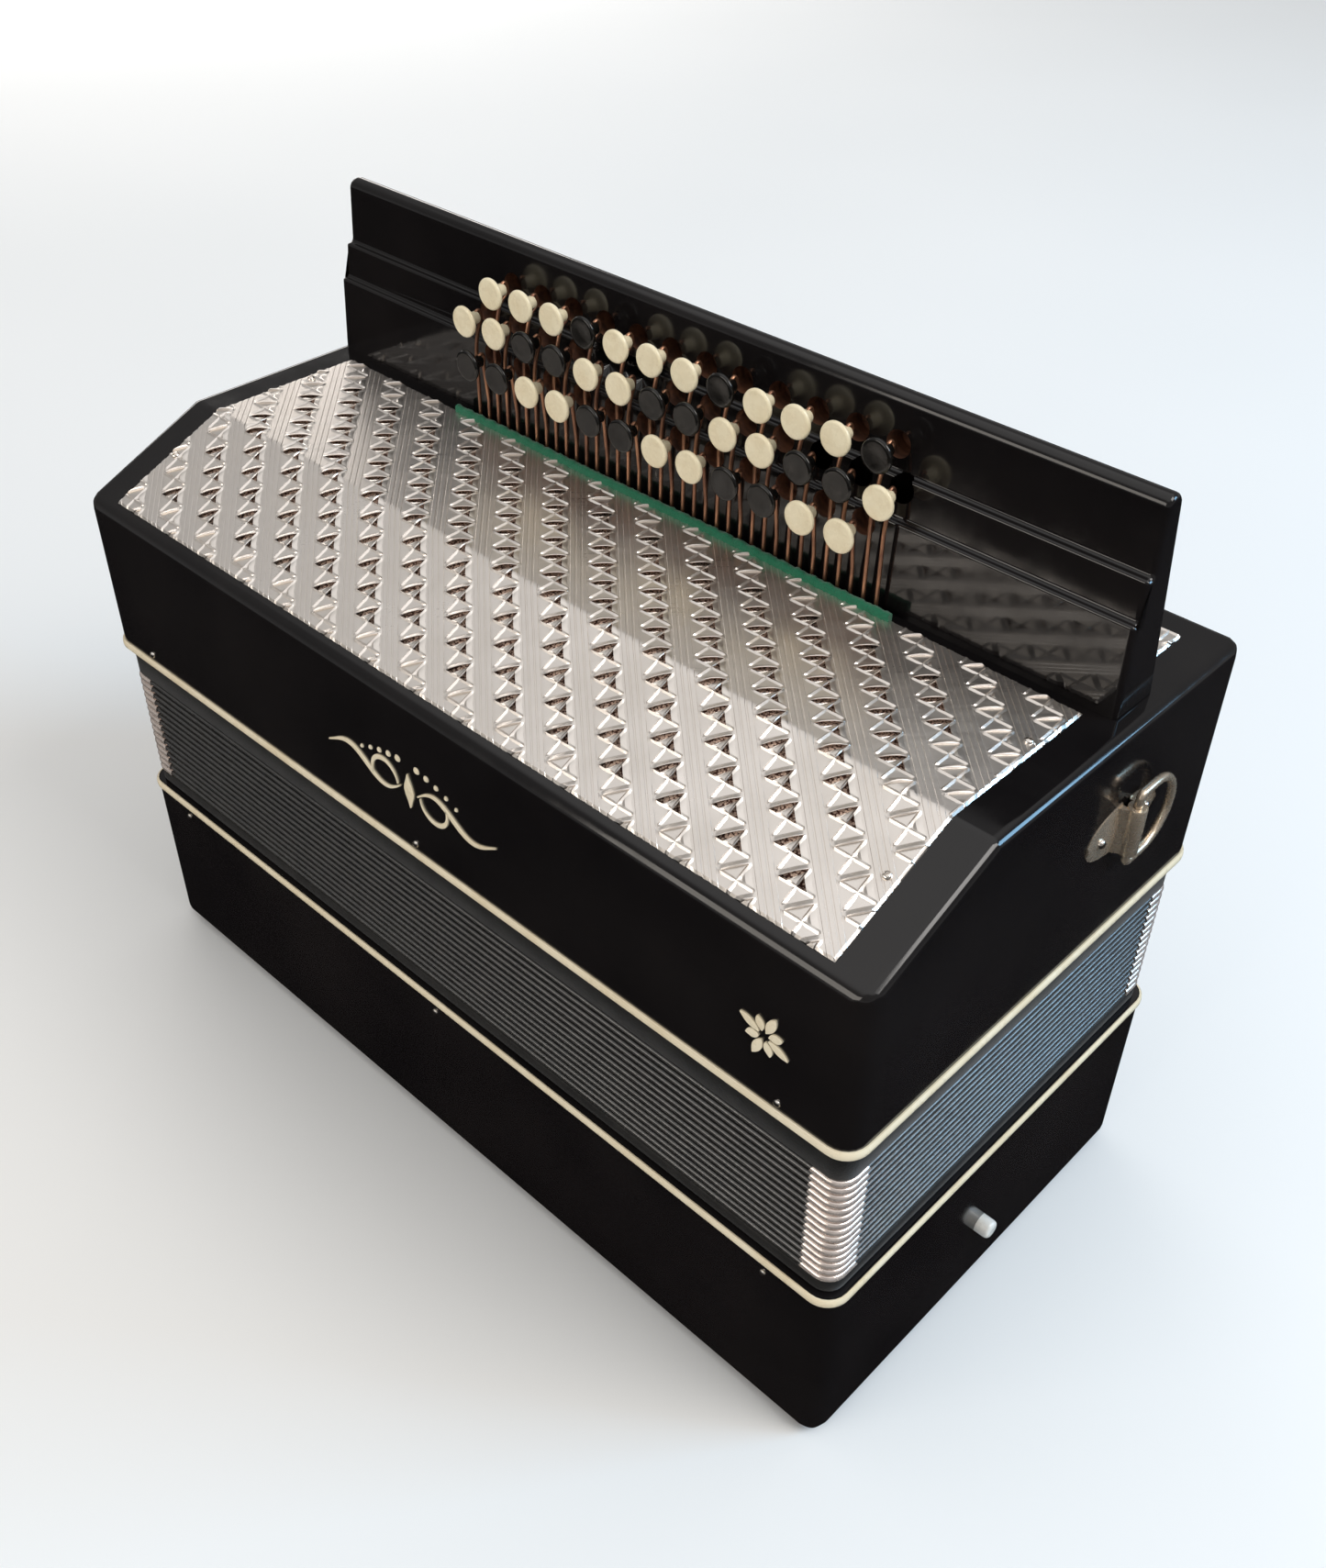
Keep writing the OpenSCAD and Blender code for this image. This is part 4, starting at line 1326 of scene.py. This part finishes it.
# the CAD nodes that stay in view, with their own looks
KEPT = {
    "bass_panel": LACQUER,
    "bass_soundboard": WOOD,
    "bass_reed_blocks": WOOD,
    "treble_soundboard": WOOD,
    "treble_reed_blocks": WOOD,
    "lever_axle": STEEL,
}
for kept_node, kept_look in KEPT.items():
    kept = frame["nodes"][kept_node]
    kept.data.materials.clear()
    kept.data.materials.append(kept_look)


# ---- floor, light and camera ----

def floor():
    bm = bmesh.new()
    size = 6000
    for i in range(4):
        a = math.radians(45 + 90 * i)
        bm.verts.new((size * math.cos(a), size * math.sin(a), -0.02))
    bm.faces.new(bm.verts[:])
    look = Look("studio_floor", Roughness=0.9, Specular_IOR_Level=0.1)
    look.color(look.noise(400, detail=1), (0.85, 0.862, 0.865), (0.87, 0.88, 0.882))
    obj = to_piece("floor", bm, look.mat)
    obj.visible_glossy = False


def area_light(name, place, target, size, power, color=(1, 1, 1)):
    """A soft box of size metres at place, facing target, in metres."""
    data = bpy.data.lights.new(name, "AREA")
    data.shape = "RECTANGLE"
    data.size, data.size_y = size
    data.energy = power
    data.color = color
    obj = in_scene(name, data)
    obj.location = place
    obj.rotation_mode = "QUATERNION"
    obj.rotation_quaternion = (Vector(target) - Vector(place)).to_track_quat("-Z", "Y")
    return obj


def sky():
    """A soft dome: bright overhead, dim at the sides, and dark below."""
    world = bpy.data.worlds.new("studio")
    bpy.context.scene.world = world
    world.use_nodes = True
    nodes, links = world.node_tree.nodes, world.node_tree.links
    background = nodes["Background"]
    coords = nodes.new("ShaderNodeTexCoord")
    split = nodes.new("ShaderNodeSeparateXYZ")
    ramp = nodes.new("ShaderNodeValToRGB")
    rescale = nodes.new("ShaderNodeMapRange")
    rescale.inputs["From Min"].default_value = -1
    links.new(coords.outputs["Generated"], split.inputs[0])
    links.new(split.outputs["Z"], rescale.inputs["Value"])
    links.new(rescale.outputs["Result"], ramp.inputs["Fac"])
    links.new(ramp.outputs["Color"], background.inputs["Color"])
    stops = ramp.color_ramp.elements
    stops[0].position, stops[0].color = 0.0, (0.012, 0.010, 0.010, 1)
    stops[1].position, stops[1].color = 1.0, (0.95, 0.94, 0.93, 1)
    for position, shade in ((0.46, 0.02), (0.5, 0.34), (0.56, 0.3), (0.66, 0.2), (0.82, 0.26), (0.9, 0.85)):
        stop = stops.new(position)
        stop.color = (shade, shade * 0.99, shade * 0.98, 1)
    background.inputs["Strength"].default_value = 1.0
    # what the camera sees past the floor's edge is as pale as the floor
    backdrop = nodes.new("ShaderNodeBackground")
    backdrop.inputs["Color"].default_value = (0.84, 0.87, 0.89, 1)
    path = nodes.new("ShaderNodeLightPath")
    pick = nodes.new("ShaderNodeMixShader")
    links.new(path.outputs["Is Camera Ray"], pick.inputs["Fac"])
    links.new(background.outputs["Background"], pick.inputs[1])
    links.new(backdrop.outputs["Background"], pick.inputs[2])
    links.new(pick.outputs["Shader"], nodes["World Output"].inputs["Surface"])


def camera():
    azimuth, elevation, roll = (math.radians(a) for a in (43.15, 39.17, 0.75))
    away = Vector((math.sin(azimuth), -math.cos(azimuth), 0))
    back = away * math.cos(elevation) + Vector((0, 0, math.sin(elevation)))
    flat_right = Vector((math.cos(azimuth), math.sin(azimuth), 0))
    flat_up = back.cross(flat_right)
    right = flat_right * math.cos(roll) + flat_up * math.sin(roll)
    up = back.cross(right)
    data = bpy.data.cameras.new("camera")
    data.lens = 36.8
    data.sensor_width = 36
    data.clip_start, data.clip_end = 0.01, 100
    obj = in_scene("camera", data)
    place = Vector((380.5, -374.3, 576.8)) * MM
    turn = Matrix((right, up, back)).transposed().to_4x4()
    obj.matrix_world = Matrix.Translation(place) @ turn
    bpy.context.scene.camera = obj


floor()
sky()
area_light("key", (1.55, 0.35, 1.95), (0, 0, 0.1), (1.1, 1.1), 25, (1.0, 0.975, 0.94))
area_light("window", (1.75, 1.45, 1.25), (0.2, 0, 0.1), (0.8, 0.8), 26, (0.36, 0.68, 1.0))
area_light("left_wall", (-2.2, 1.1, 0.72), (0, 0, 0.25), (1.8, 0.55), 13, (1.0, 0.95, 0.9))
area_light("front_fill", (-0.5, -2.4, 1.1), (0, 0, 0.2), (1.8, 1.0), 19, (1.0, 0.93, 0.84))
camera()
bpy.context.scene.view_settings.view_transform = "Standard"
